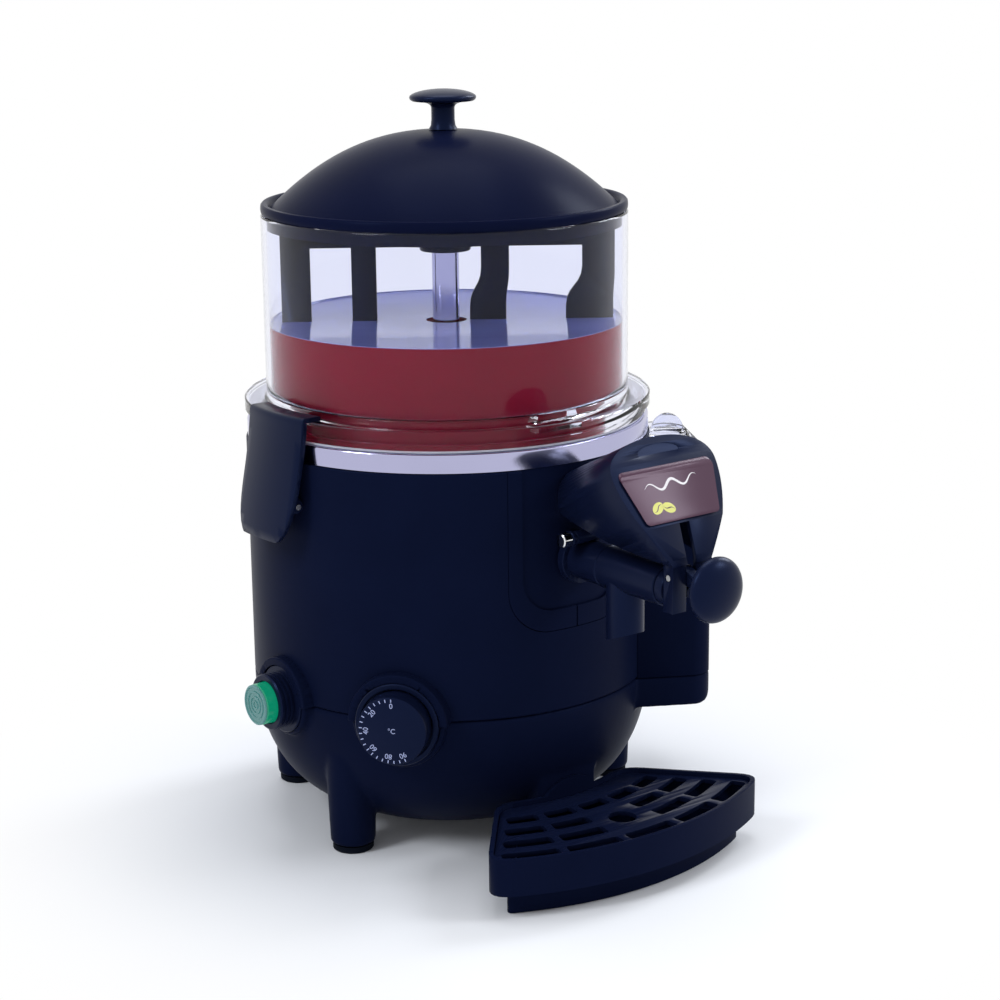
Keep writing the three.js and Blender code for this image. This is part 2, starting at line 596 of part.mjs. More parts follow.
function makeBowlShell() {
  const under = bowlFloor - bowl.floorWall;
  const bore = column.radius + bowl.tubeClearance;
  const round = bowl.corner * bowl.cornerCutShare;
  const step = bowlFlange + bowl.flangeStep;
  const foot = body.radius - bowl.stepWidth;
  return turned([
    [bore, under], [cupRadius - bowl.corner, under], [cupRadius - round, under + round],
    [cupRadius, under + bowl.corner], [cupRadius, bowlFlange], [foot, bowlFlange], [foot, step],
    [body.radius, step], [body.radius, flangeTop - bevel], [body.radius - bevel, flangeTop],
    [bowlRadius, flangeTop],
    [bowlRadius, bowlRim], [bowlInner, bowlRim], [bowlInner, bowlLedge + bowl.ledgeRim],
    [cupInner + bowl.cupWall, bowlLedge], [cupInner, bowlLedge], [cupInner, bowlFloor + bowl.corner],
    [cupInner - round, bowlFloor + round], [cupInner - bowl.corner, bowlFloor], [bowl.tubeRadius, bowlFloor],
    [bowl.tubeRadius, tubeTop], [bore, tubeTop],
  ], facets.large);
}

// The bowl with its outlet: a well under the floor and a spout that passes through the tank's wall.
function makeBowl() {
  const wellInner = bowl.wellRadius - bowl.wellWall;
  const wellBottom = tapHeight - bowl.wellDrop;
  const well = post(bowl.wellRadius, [wellBottom, bowlFloor - gap], bowl.wellReach, 0, facets.small);
  const wellBore = post(wellInner, [wellBottom + bowl.wellWall, bowlFloor + overrun], bowl.wellReach, 0,
    facets.small);
  const spout = stub(outlet.radius, [bowl.wellReach, outletTip], tapHeight, facets.small);
  const spoutBore = stub(outlet.bore, [bowl.wellReach, outletTip + overrun], tapHeight, facets.small);
  const arch = fronted(roundedBox([-bowl.archHalf, bowl.archHalf], [bowlFlange + bowl.flangeStep,
    flangeTop + bowl.archRise], 0, bowl.archHalf), [cupInner - overrun, cupInner + bowl.archDepth]);
  return union([makeBowlShell(), well, spout]).subtract(union([wellBore, spoutBore, arch]));
}

function makeColumn() {
  const nutTop = tankBottom - gap;
  const nutFoot = nutTop - column.nutHeight;
  const foot = nutFoot - column.tail;
  return turned([[column.bore, foot], [column.radius, foot], [column.radius, nutFoot],
    [column.nutRadius, nutFoot],
    [column.nutRadius, nutTop], [column.radius, nutTop], [column.radius, columnTop],
    [column.bore, columnTop]],
  facets.small);
}

function makeColumnSeal() {
  const inner = column.radius + gap;
  const foot = tubeTop + gap;
  return turned([[inner, foot], [bowl.tubeRadius, foot], [bowl.tubeRadius, tubeTop + columnSeal.height / 2],
    [inner, tubeTop + columnSeal.height]], facets.small);
}

function makeOutletSeal() {
  const back = sealFront - outlet.sealDepth;
  return turnedOutward([[outlet.radius + gap, back], [outlet.radius + gap, sealFront],
    [outlet.sealRadius, sealFront],
    [outlet.sealRadius, back]], tapHeight, facets.small);
}

// The dome's height at a radius.
const domeAt = (radius) => domeFoot + lid.domeHeight * (1 - (radius / domeEdge) ** lid.domePower);

// Points of the dome from its edge to its stem hole, closer together at the edge.
function domePoints(edge, steps, heightAt) {
  return Array.from({ length: steps + 1 }, (_, i) => {
    const radius = lid.stemHole + (edge - lid.stemHole) * (1 - (i / steps) ** lid.crowding);
    return [radius, heightAt(radius)];
  });
}

function makeLid() {
  const high = lidLow + lid.rimHeight;
  const skirt = bowlInner - lid.skirtClearance;
  const inner = skirt - lid.skirtWall;
  const skirtFoot = lidLow - lid.skirtDepth;
  const outside = domePoints(domeEdge, lid.outsideSteps, (radius) =>
    Math.max(domeAt(radius), lidLow + lid.bead));
  const inside = domePoints(inner - lid.wall, lid.insideSteps, (radius) => domeAt(radius) - lid.wall);
  return turned([
    [inner, skirtFoot], [skirt, skirtFoot], [skirt, lidLow], [lidRadius - lid.bead, lidLow],
    [lidRadius, lidLow + lid.bead], [lidRadius, high - lid.bead], [lidRadius - lid.bead, high],
    [domeEdge + lid.bead, high], ...outside, ...inside.reverse(), [inner, lidLow],
  ], facets.large);
}

function makeLidKnob() {
  const k = lidKnob;
  const seat = domeAt(lid.stemHole) + gap;
  const under = domeAt(lid.stemHole) - lid.wall - 2 * gap;
  const capFoot = knobTop - k.capThickness;
  return turned([
    [0, under - k.nutHeight], [k.nutRadius, under - k.nutHeight], [k.nutRadius, under], [k.pegRadius, under],
    [k.pegRadius, seat], [k.stemRadius, seat], [k.stemRadius, capFoot - k.capEdge],
    [k.capRadius - k.capEdge, capFoot], [k.capRadius, capFoot + k.capEdge],
    [k.capRadius * k.crownShare, knobTop - k.capEdge * k.crownDropShare], [0, knobTop],
  ], facets.middle);
}

// The stirrer's right edges: straight above the bulge, drawn to another place below it by a soft S.
function bulgeCurve(shape, above, below, rising) {
  const mid = bowlRim - stirrer.bulgeDrop;
  const low = mid - stirrer.bulgeBlend;
  const high = mid + stirrer.bulgeBlend;
  if (rising) shape.lineTo(below, low).bezierCurveTo(below, mid, above, mid, above, high);
  else shape.lineTo(above, high).bezierCurveTo(above, mid, below, mid, below, low);
}

// Front view of the stirrer: a frame that clears the bowl's wall and cup, with a window on each side.
function paddleOutline() {
  const s = stirrer;
  const under = stirrerTop - s.crossBar;
  const tip = bowlFloor + s.floorClearance;
  const foot = tip + s.footBar;
  const neck = bowlLedge + s.neckRise;
  const neckTop = neck + s.footBar;
  const left = bowlInner - s.leftClearance;
  const right = bowlInner - s.rightClearance;
  const bulge = bowlInner - s.bulgeClearance;
  const narrow = cupInner - s.cupClearance;
  const shape = new THREE.Shape();
  shape.moveTo(-left, stirrerTop).lineTo(-left, neckTop).lineTo(-narrow, neck);
  shape.lineTo(-narrow, tip + s.footCut).lineTo(-narrow + s.footCut, tip).lineTo(-s.leftBar[0], tip);
  shape.lineTo(-s.leftBar[0], under).lineTo(s.rightBar[0], under);
  bulgeCurve(shape, s.rightBar[0], s.bulgeBar[0], false);
  shape.lineTo(s.bulgeBar[0], tip).lineTo(narrow - s.footCut, tip).lineTo(narrow, tip + s.footCut);
  shape.lineTo(narrow, neck).lineTo(bulge, neckTop);
  bulgeCurve(shape, right, bulge, true);
  shape.lineTo(right, stirrerTop);
  const leftWindow = new THREE.Path().moveTo(-left + s.leftSide, under).lineTo(-s.leftBar[1], under);
  leftWindow.lineTo(-s.leftBar[1], foot).lineTo(-narrow + s.neckBar, foot).lineTo(-narrow + s.neckBar, neck);
  leftWindow.lineTo(-left + s.leftSide, neckTop);
  const rightWindow = new THREE.Path().moveTo(s.rightBar[1], under).lineTo(right - s.rightSide, under);
  bulgeCurve(rightWindow, right - s.rightSide, bulge - s.bulgeSide, false);
  rightWindow.lineTo(bulge - s.bulgeSide, foot).lineTo(s.bulgeBar[1], foot);
  bulgeCurve(rightWindow, s.rightBar[1], s.bulgeBar[1], true);
  shape.holes.push(leftWindow, rightWindow);
  return shape;
}

function makePaddle() {
  const plate = fronted(paddleOutline(), [-stirrer.half, stirrer.half], 0, curves.fine);
  const eye = drum(stirrer.eyeRadius, [eyeFoot, eyeFoot + stirrer.eyeHeight], facets.small);
  const bore = drum(hub.radius + gap, [0, hubTop], facets.small);
  const tube = drum(bowl.tubeRadius + running, [0, eyeFoot], facets.small);
  return plate.add(eye).subtract(bore.add(tube));
}

function makeHub() {
  const low = columnTop + running;
  const seat = eyeFoot - gap;
  const bore = shaft.radius + gap / 2;
  return turned([[bore, low], [hub.flangeRadius, low], [hub.flangeRadius, seat], [hub.radius, seat],
    [hub.radius, hubTop - bevel], [hub.radius - bevel, hubTop], [bore, hubTop]], facets.small);
}

const makeShaft = () => drum(shaft.radius, [shaftFoot, hubTop - bevel], facets.small);

function makeGearMotor() {
  const m = gearMotor;
  const box = drum(m.boxRadius, [motorSeat, motorSeat + m.boxHeight], facets.middle);
  const neck = drum(m.bossRadius, [motorSeat, motorTop], facets.middle);
  const can = drum(m.canRadius, [motorSeat - m.canHeight, motorSeat + m.lugHeight], facets.middle);
  const lugs = block([-m.lugLength, m.lugLength], [-m.lugHalf, m.lugHalf],
    [motorSeat, motorSeat + m.lugHeight]);
  const bore = drum(shaft.radius + running, [shaftFoot - running, motorTop + overrun], facets.small);
  return union([box, neck, can, lugs]).subtract(bore);
}

// A bridge of bent sheet over the floor, with the motor's can hanging through it.
function makeMotorBracket() {
  const top = motorSeat - gap;
  const { length, sheet, foot } = bracket;
  const inner = length - sheet;
  const shape = outlineOf([[-length, insideFloor], [-inner + foot, insideFloor],
    [-inner + foot, insideFloor + sheet],
    [-inner, insideFloor + sheet], [-inner, top - sheet], [inner, top - sheet], [inner, insideFloor + sheet],
    [inner - foot, insideFloor + sheet], [inner - foot, insideFloor], [length, insideFloor], [length, top],
    [-length, top]]);
  const hole = drum(gearMotor.canRadius + gap, [insideFloor, top + overrun], facets.middle);
  return turnedTo(fronted(shape, [-bracket.half, bracket.half]).subtract(hole), 90);
}

function makeHeater() {
  const { ringRadius, tubeRadius, tail } = heater;
  const height = tankBottom - gap - tubeRadius;
  const loop = new THREE.TorusGeometry(ringRadius, tubeRadius, heater.sides, heater.steps);
  const tails = [-tail, tail].map((x) => block([x - tubeRadius / 2, x + tubeRadius / 2],
    [ringRadius - tubeRadius, ringRadius], [height - tail, height]));
  return solid(loop.translate(0, 0, height)).add(union(tails));
}

function makeCutout() {
  const top = tankBottom - gap;
  return post(cutout.radius, [top - cutout.height, top], cutout.ring, cutout.angle, facets.small);
}

function makeTerminal() {
  const { halfWidth, halfDepth, height, pitch, poles } = terminal;
  const centre = baseHole + halfDepth + gap;
  const strip = block([-halfWidth, halfWidth], [-centre - halfDepth, -centre + halfDepth],
    [insideFloor, insideFloor + height]);
  const wells = Array.from({ length: poles }, (_, i) => {
    const x = (i - (poles - 1) / 2) * pitch;
    return block([x - halfDepth / 2, x + halfDepth / 2], [-centre - halfDepth / 2, -centre + halfDepth / 2],
      [insideFloor + height / 2, insideFloor + height + overrun]);
  });
  return turnedTo(strip.subtract(union(wells)), terminal.angle);
}

function makeDialBezel() {
  const d = dial;
  const root = body.radius - d.bezelDepth;
  const [sink, front] = [proud(d.sinkProud), proud(d.bezelProud)];
  return turnedOutward([[d.shaftRadius + running, root], [d.shaftRadius + running, sink], [d.bezelBore, sink],
    [d.bezelBore, front - bevel], [d.bezelBore + bevel, front], [d.bezelRadius - bevel, front],
    [d.bezelRadius, front - bevel], [d.bezelRadius, root]], seam, facets.middle);
}

function makeDialKnob() {
  const d = dial;
  const [tip, back, front] = [body.radius - d.shaftDepth, proud(d.sinkProud) + running, proud(d.knobProud)];
  return turnedOutward([[0, tip], [d.shaftRadius, tip], [d.shaftRadius, back], [d.knobRadius, back],
    [d.knobRadius, front - d.knobEdge], [d.knobRadius - d.knobEdge, front], [0, front]], seam, facets.middle);
}

function makeThermostat() {
  const front = body.radius - dial.bezelDepth - gap;
  const { halfWidth, halfHeight, depth, bulbRadius, bulbLength } = thermostat;
  const box = block([-halfWidth, halfWidth], [-front, -front + depth],
    [seam - halfHeight, seam + halfHeight]);
  const bulb = post(bulbRadius, [seam, seam + halfHeight + bulbLength], front - depth / 2, 0, facets.tiny);
  const bore = stub(dial.shaftRadius + running, [body.radius - dial.shaftDepth - running, front + overrun],
    seam,
    facets.small);
  return box.add(bulb).subtract(bore);
}

function makePowerBezel() {
  const p = power;
  const root = body.radius - p.bezelDepth;
  const front = proud(p.bezelProud);
  const ribs = Array.from({ length: p.ribs }, (_, i) => {
    const top = front - bevel - 2 * i * p.ribWidth;
    const foot = top - p.ribWidth;
    return [[p.neckRadius, top], [p.neckRadius, foot], [p.neckRadius - p.ribDepth, foot],
      [p.neckRadius - p.ribDepth, foot - p.ribWidth]];
  }).flat();
  const collar = front - bevel - 2 * p.ribs * p.ribWidth;
  const bore = p.buttonRadius + running;
  return turnedOutward([[bore, root], [bore, front], [p.neckRadius - bevel, front], ...ribs,
    [p.bezelRadius, collar], [p.bezelRadius, root]], seam, facets.middle);
}

function makePowerButton() {
  const p = power;
  const [back, front] = [body.radius - p.buttonDepth, proud(p.buttonProud)];
  return turnedOutward([[0, back], [p.buttonRadius, back], [p.buttonRadius, front - p.buttonEdge],
    [p.buttonRadius - p.buttonEdge, front], [0, front]], seam, facets.middle);
}

function makeSwitchBody() {
  const { blockHalf, blockDepth, buttonRadius, buttonDepth, travel } = power;
  const front = body.radius - power.bezelDepth - gap;
  const box = block([-blockHalf, blockHalf], [-front, -front + blockDepth],
    [seam - blockHalf, seam + blockHalf]);
  const tip = body.radius - buttonDepth - travel - gap;
  return box.add(stub(buttonRadius / 2, [front - blockDepth / 2, tip], seam, facets.small));
}

function makeGland() {
  const g = gland;
  const [tip, seat, front] = [body.radius - g.depth, proud(g.archProud) + gap, proud(g.nutProud)];
  return turnedOutward([[g.boreRadius, tip], [g.boreRadius, front], [g.nutRadius * g.tipShare, front],
    [g.nutRadius * g.domeShare, front - g.boreRadius], [g.nutRadius, front - 2 * g.boreRadius],
    [g.nutRadius, seat],
    [g.throatRadius, seat], [g.throatRadius, tip]], seam, facets.small);
}

// The tap's barrel: a bored tube with a valve seat, a collar on the body, a bead and a socket for the outlet.
function makeBarrel() {
  const t = tap;
  const back = sealFront + gap;
  const socket = outlet.radius + gap;
  const socketEnd = outletTip + 2 * gap;
  const [seat, collarBack, collar, bead] = [t.seatProud, gap, t.collarProud, t.beadProud].map(proud);
  return turnedOutward([
    [socket, back], [socket, socketEnd], [t.bore, socketEnd], [t.bore, seat], [t.seatRadius, seat],
    [t.seatRadius, seat + t.seatWidth], [t.bore, seat + t.seatWidth], [t.bore, tapFront],
    [t.radius, tapFront],
    [t.radius, bead + t.beadWidth], [t.beadRadius, bead + t.beadWidth], [t.beadRadius, bead],
    [t.radius, bead],
    [t.radius, collar], [t.collarRadius, collar], [t.collarRadius, collarBack], [t.radius, collarBack],
    [t.radius, back],
  ], tapHeight, facets.middle);
}

function makeTapBarrel() {
  const t = tap;
  const mouthHeight = tapHeight - t.mouthDrop;
  const mouth = [0, -Math.sin(radians(t.mouthTilt)), Math.cos(radians(t.mouthTilt))];
  const cutAt = mouth[1] * -spoutReach + mouth[2] * mouthHeight;
  const spout = post(t.spoutRadius, [mouthHeight - t.spoutRadius, tapHeight], spoutReach, 0, facets.middle);
  const spoutBore = post(t.spoutBore, [mouthHeight - 2 * t.spoutRadius, tapHeight], spoutReach, 0,
    facets.middle);
  const tube = crossRod(crossPin.tubeRadius, [crossPin.left, crossPin.right], proud(crossPin.proud),
    pinHeight,
    facets.small);
  const pinHole = crossRod(crossPin.pinRadius + gap, [crossPin.left - overrun, crossPin.right - overrun],
    proud(crossPin.proud), pinHeight, facets.small);
  const core = stub(t.bore, [outletTip, tapFront + overrun], tapHeight, facets.middle);
  const fittings = spout.trimByPlane(mouth, cutAt).add(tube).subtract(core);
  return makeBarrel().add(fittings).subtract(spoutBore).subtract(pinHole);
}

// The pin that locks the tap, with a fluted head.
function makeLockingPin() {
  const c = crossPin;
  const reach = proud(c.proud);
  const headEnd = c.headTip + c.headLength;
  const head = crossRod(c.headRadius, [c.headTip, headEnd], reach, pinHeight, c.flutes * 2);
  const flute = crossRod(c.fluteDepth, [c.headTip + c.fluteDepth, headEnd + overrun], reach, pinHeight,
    c.fluteSides);
  const flutes = Array.from({ length: c.flutes }, (_, i) => {
    const turn = (fullTurn * i) / c.flutes;
    return flute.translate([0, c.headRadius * Math.cos(turn), c.headRadius * Math.sin(turn)]);
  });
  const pin = crossRod(c.pinRadius, [headEnd - gap, c.right - overrun - gap], reach, pinHeight, facets.small);
  return head.subtract(union(flutes)).add(pin);
}

function makeBarrelCap() {
  const bore = plug.rodRadius + running;
  const spigot = tap.bore - running;
  return turnedOutward([[bore, spigotBack], [bore, capFront], [cap.radius - bevel, capFront],
    [cap.radius, capFront - bevel], [cap.radius, tapFront + gap], [spigot, tapFront + gap],
    [spigot, spigotBack]],
  tapHeight, facets.middle);
}

const plugBack = proud(tap.seatProud) + tap.seatWidth + gap;
const plugFront = plugBack + plug.length;
const plugMiddle = (plugBack + plugFront) / 2;

// The valve piston: a grooved plug, a rod, and a head that the lever's fork holds.
function makePiston() {
  const p = plug;
  const radius = tap.bore - running;
  const rodTip = pivotReach + lever.forkThick / 2 + gap + p.head;
  const [grooveBack, grooveFront] = [plugMiddle - p.grooveWidth / 2, plugMiddle + p.grooveWidth / 2];
  return turnedOutward([[0, plugBack], [radius, plugBack], [radius, grooveBack],
    [radius - p.grooveDepth, grooveBack],
    [radius - p.grooveDepth, grooveFront], [radius, grooveFront], [radius, plugFront],
    [p.rodRadius, plugFront],
    [p.rodRadius, rodTip - p.head], [p.headRadius, rodTip - p.head], [p.headRadius, rodTip], [0, rodTip]],
  tapHeight, facets.small);
}

function makePistonRing() {
  const inner = tap.bore - running - plug.grooveDepth + gap / 2;
  const outer = tap.bore - gap;
  const [back, front] = [plugMiddle - ring.section / 2, plugMiddle + ring.section / 2];
  return turnedOutward([[inner, back], [inner, front], [outer, front], [outer, back]], tapHeight,
    facets.small);
}

// The spring's centre line, from the plug to the barrel's cap.
class Helix extends THREE.Curve {
  getPoint(t) {
    const turn = fullTurn * spring.turns * t;
    const from = plugFront + gap + spring.wire;
    const to = spigotBack - gap - spring.wire;
    return new THREE.Vector3(spring.radius * Math.cos(turn), -(from + (to - from) * t),
      tapHeight + spring.radius * Math.sin(turn));
  }
}

function makeSpring() {
  return solid(new THREE.ExtrudeGeometry(disc(0, 0, spring.wire), {
    steps: spring.turns * spring.steps, curveSegments: spring.sides, extrudePath: new Helix(),
  }));
}

// The cover's outline in its own plane: across, and up the slope from the reference height.
function shieldOutline(inset) {
  const c = cover;
  const shape = new THREE.Shape();
  const [top, wide, narrow] = [c.top - inset, c.wide - inset, c.narrow - inset];
  const low = c.narrowAt - c.tail;
  const waist = [c.wide * c.waistWidthShare - inset, c.narrowAt * c.waistHeightShare];
  const shoulder = c.top * c.shoulderShare - inset;
  shape.moveTo(-narrow, low).lineTo(narrow, low).lineTo(narrow, c.narrowAt);
  shape.bezierCurveTo(...waist, wide, -c.wideAt / 2, wide, c.wideAt);
  shape.bezierCurveTo(wide, shoulder, wide * c.crownShare, top, 0, top);
  shape.bezierCurveTo(-wide * c.crownShare, top, -wide, shoulder, -wide, c.wideAt);
  shape.bezierCurveTo(-wide, -c.wideAt / 2, -waist[0], waist[1], -narrow, c.narrowAt);
  return shape;
}

// Places an outline on the cover's sloping front and runs it back along a slope, narrower toward its far end.
function onShield(shape, [start, depth], along, edge = 0, steps = cover.curveSteps, farShare = 1) {
  const tilt = radians(cover.tilt);
  const back = radians(along);
  const basis = new THREE.Matrix4().makeBasis(
    new THREE.Vector3(1, 0, 0), new THREE.Vector3(0, Math.sin(tilt), Math.cos(tilt)),
    new THREE.Vector3(0, Math.cos(back), -Math.sin(back)),
  );
  const geometry = extruded(shape, depth, edge, steps);
  const points = geometry.attributes.position;
  for (let i = 0; i < points.count; i++) {
    points.setX(i, points.getX(i) * (1 + ((farShare - 1) * points.getZ(i)) / depth));
  }
  geometry.translate(0, 0, start).applyMatrix4(basis);
  return solid(geometry.translate(0, -tapFront - cover.planeAhead, tapHeight + cover.planeRise));
}

// Cuts off what stands in front of the cover's lower face, or of that face drawn in by a wall.
function behindLowFace(made, inset) {
  const tilt = radians(cover.lowTilt);
  const bendReach = tapFront + cover.planeAhead + (cover.planeRise - cover.slotRise)
    * Math.tan(radians(cover.tilt));
  const bendHeight = tapHeight + cover.slotRise;
  const offset = -bendReach * Math.cos(tilt) - bendHeight * Math.sin(tilt);
  return made.trimByPlane([0, Math.cos(tilt), -Math.sin(tilt)], offset + inset);
}

// The cover's hood narrows from its shield to a neck on the body, and its lower edge slopes.
function makeHood() {
  const c = cover;
  const depth = (tapFront + c.planeAhead - shellInner) / Math.cos(radians(c.roofTilt));
  const hood = (inset, start) => {
    const farShare = (c.neck - inset) / (c.wide - inset);
    return behindLowFace(onShield(shieldOutline(inset), [start, depth], c.roofTilt, 0, c.curveSteps,
      farShare), inset);
  };
  const slope = Math.atan2(c.backTrim - c.frontTrim, coverFront - body.radius);
  const under = [0, Math.sin(-slope), Math.cos(slope)];
  const outer = hood(0, 0).trimByPlane(under, under[1] * -coverFront + under[2] * (tapHeight + c.frontTrim));
  return outer.subtract(hood(c.wall, c.wall / Math.cos(radians(c.tilt))));
}

// The box under the shield that holds the lever's pin.
function makeSkirt() {
  const c = cover;
  const [low, high] = [tapHeight - c.skirtDrop, tapHeight + c.frontTrim + c.skirtTop];
  const back = -coverFront + c.skirtDepth;
  const skirt = block([-c.skirtHalf, c.skirtHalf], [-coverFront, back], [low, high]);
  const room = block([-c.skirtHalf + c.wall, c.skirtHalf - c.wall], [-coverFront + c.wall, back + overrun],
    [low - overrun, high + overrun]);
  return behindLowFace(skirt, 0).subtract(room);
}

function makeTapCover() {
  const c = cover;
  const slotHalf = lever.half + running;
  const slot = block([-slotHalf, slotHalf], [-coverFront - 2 * overrun, -pivotReach + lever.hubRadius + gap],
    [tapHeight - c.skirtDrop - overrun, tapHeight + c.slotRise]);
  const pinHole = crossRod(lever.pinRadius + gap, [-c.skirtHalf - overrun, c.skirtHalf + overrun], pivotReach,
    leverPivot, facets.tiny);
  const pegHole = onShield(disc(0, (label.low + label.high) / 2, label.pegRadius + gap),
    [-overrun, 2 * (overrun + c.wall)], -c.tilt);
  const bodyRoom = drum(body.radius + gap, [0, bowlRim]);
  return makeHood().add(makeSkirt()).subtract(union([slot, bodyRoom, pegHole])).subtract(pinHole);
}

function makeLabel() {
  const { topHalf, bottomHalf, low, high, corner, thickness } = label;
  const slant = corner * label.slantShare;
  const shape = new THREE.Shape();
  shape.moveTo(-bottomHalf + corner, low).lineTo(bottomHalf - corner, low);
  shape.quadraticCurveTo(bottomHalf, low, bottomHalf + slant, low + corner);
  shape.lineTo(topHalf - slant, high - corner).quadraticCurveTo(topHalf, high, topHalf - corner, high);
  shape.lineTo(-topHalf + corner, high).quadraticCurveTo(-topHalf, high, -topHalf + slant, high - corner);
  shape.lineTo(-bottomHalf - slant, low + corner);
  shape.quadraticCurveTo(-bottomHalf, low, -bottomHalf + corner, low);
  const seat = gap / Math.cos(radians(cover.tilt));
  const plate = onShield(shape, [-thickness - seat, thickness], -cover.tilt, label.edge, curves.coarse);
  const peg = onShield(disc(0, (low + high) / 2, label.pegRadius),
    [-thickness - seat, thickness + cover.wall],
    -cover.tilt, 0, curves.coarse);
  return plate.add(peg);
}

function makeLeverPin() {
  const half = cover.skirtHalf - running;
  return crossRod(lever.pinRadius, [-half, half], pivotReach, leverPivot, facets.tiny);
}

function makeLever() {
  const l = lever;
  const across = [-l.half, l.half];
  const armTip = pivotReach + l.armLength;
  const round = crossRod(l.hubRadius, across, pivotReach, leverPivot, facets.small);
  const arm = sided(outlineOf([[-pivotReach, leverPivot - l.armHalf], [-pivotReach, leverPivot + l.armHalf],
    [-armTip, leverKnobHeight + l.armHalf], [-armTip, leverKnobHeight - l.armHalf]]), across);
  const stem = stub(l.stemRadius, [armTip - overrun, pivotReach + l.stemLength], leverKnobHeight,
    facets.small);
  const fork = block(across, [-pivotReach - l.forkThick / 2, -pivotReach + l.forkThick / 2],
    [leverPivot - l.forkLength, leverPivot]);
  const slot = block([-l.forkHalf, l.forkHalf], [-pivotReach - l.hubRadius, -pivotReach + l.hubRadius],
    [leverPivot - l.forkLength - overrun, tapHeight + l.forkHalf]);
  const bore = crossRod(l.pinRadius + gap, [-l.half - overrun, l.half + overrun], pivotReach, leverPivot,
    facets.tiny);
  return union([round, arm, stem, fork]).subtract(slot).subtract(bore);
}

// The lever's knob: a thick lens with a socket for the stem.
function makeLeverKnob() {
  const l = lever;
  const side = (depth, from, to) => Array.from({ length: l.knobSteps + 1 }, (_, i) => {
    const turn = from + ((to - from) * i) / l.knobSteps;
    return [l.knobRadius * Math.cos(turn), leverKnobReach + depth * Math.sin(turn)];
  });
  const front = side(l.knobFront, 0, Math.PI / 2);
  const back = side(-l.knobBack, Math.PI / 2, 0).slice(0, -1);
  const socketEnd = pivotReach + l.stemLength + gap;
  return turnedOutward([...back, ...front], leverKnobHeight, facets.middle)
    .subtract(stub(l.stemRadius + gap, [0, socketEnd], leverKnobHeight, facets.small));
}

const latchMask = (outline) => fronted(outline, [0, proud(latch.tongueProud) + overrun]);

// Front view of a latch: square at its hook, drawn in to a tongue.
function latchFace() {
  const { half, tongueHalf } = latch;
  const top = latchSill + latch.thick + overrun;
  const shoulder = bodyTop - latch.shoulderDrop;
  const tip = bodyTop - latch.tongueDrop;
  const shape = new THREE.Shape().moveTo(-tongueHalf, tip - overrun).lineTo(tongueHalf, tip - overrun);
  shape.bezierCurveTo(half, tip, half, shoulder - tongueHalf, half, shoulder);
  shape.lineTo(half, top).lineTo(-half, top).lineTo(-half, shoulder);
  shape.bezierCurveTo(-half, shoulder - tongueHalf, -half, tip, -tongueHalf, tip - overrun);
  return shape;
}

// Section of a latch, as [reach, height] from its hook over the bowl's flange down to its tongue.
function latchSection() {
  const l = latch;
  const [face, tongue] = [proud(l.faceProud), proud(l.tongueProud)];
  const back = body.radius + l.backClearance;
  const shoulder = bodyTop - l.shoulderDrop;
  const tip = bodyTop - l.tongueDrop;
  const hook = body.radius - l.hookDepth;
  const shape = new THREE.Shape().moveTo(hook, latchSill).lineTo(hook, latchSill + l.thick);
  shape.lineTo(face - l.thick, latchSill + l.thick).quadraticCurveTo(face, latchSill + l.thick, face,
    latchSill - l.thick);
  shape.bezierCurveTo(face + l.thick, shoulder, tongue - l.thick, latchPivot, tongue, tip);
  shape.lineTo(tongue - l.thick, tip);
  shape.bezierCurveTo(tongue - 2 * l.thick, latchPivot, face, shoulder, back, latchSill - l.thick);
  shape.lineTo(back, latchSill);
  return shape.getPoints(curves.coarse).map((p) => [p.x, p.y]);
}

function makeLatch() {
  const l = latch;
  const pivot = proud(l.pivotProud);
  const top = latchSill + l.thick + overrun;
  const belt = turned(latchSection(), facets.large);
  const web = l.earRadius * l.webShare;
  const ears = [[-l.earInner - l.earWidth, -l.earInner], [l.earInner, l.earInner + l.earWidth]].map((span) =>
    crossRod(l.earRadius, span, pivot, latchPivot, facets.small).add(block(span,
      [-proud(l.tongueProud), -pivot], [latchPivot - web, latchPivot + web])));
  const bodyRoom = drum(body.radius + gap, [0, top]);
  const behindFace = belt.hull().intersect(latchMask(latchFace()));
  const bore = crossRod(l.pinRadius + gap, [-l.half, l.half], pivot, latchPivot, facets.small);
  const flangeRoom = bodyRoom.intersect(block([-l.half, l.half], [-body.radius - overrun, 0],
    [0, flangeTop + gap / 2]));
  return belt.intersect(latchMask(latchFace())).add(union(ears).intersect(behindFace).subtract(bodyRoom))
    .subtract(flangeRoom).subtract(bore);
}

// The knuckle on the body that a latch's pin passes through.
function makeLatchBracket() {
  const l = latch;
  const half = l.earInner - running;
  const pivot = proud(l.pivotProud);
  const shape = new THREE.Shape().absarc(-pivot, latchPivot, l.knuckleRadius, Math.PI / 2, Math.PI * 1.5);
  shape.lineTo(-shelfRadius, latchPivot - l.knuckleRadius).lineTo(-shelfRadius, latchPivot + l.knuckleRadius);
  const bore = crossRod(l.pinRadius + gap, [-l.half, l.half], pivot, latchPivot, facets.small);
  return sided(shape, [-half, half]).subtract(drum(body.radius + gap, [0, bodyTop])).subtract(bore);
}

function makeLatchPin() {
  const half = latch.earInner + latch.earWidth + latch.pinEnd;
  return crossRod(latch.pinRadius, [-half, half], proud(latch.pivotProud), latchPivot, facets.tiny);
}

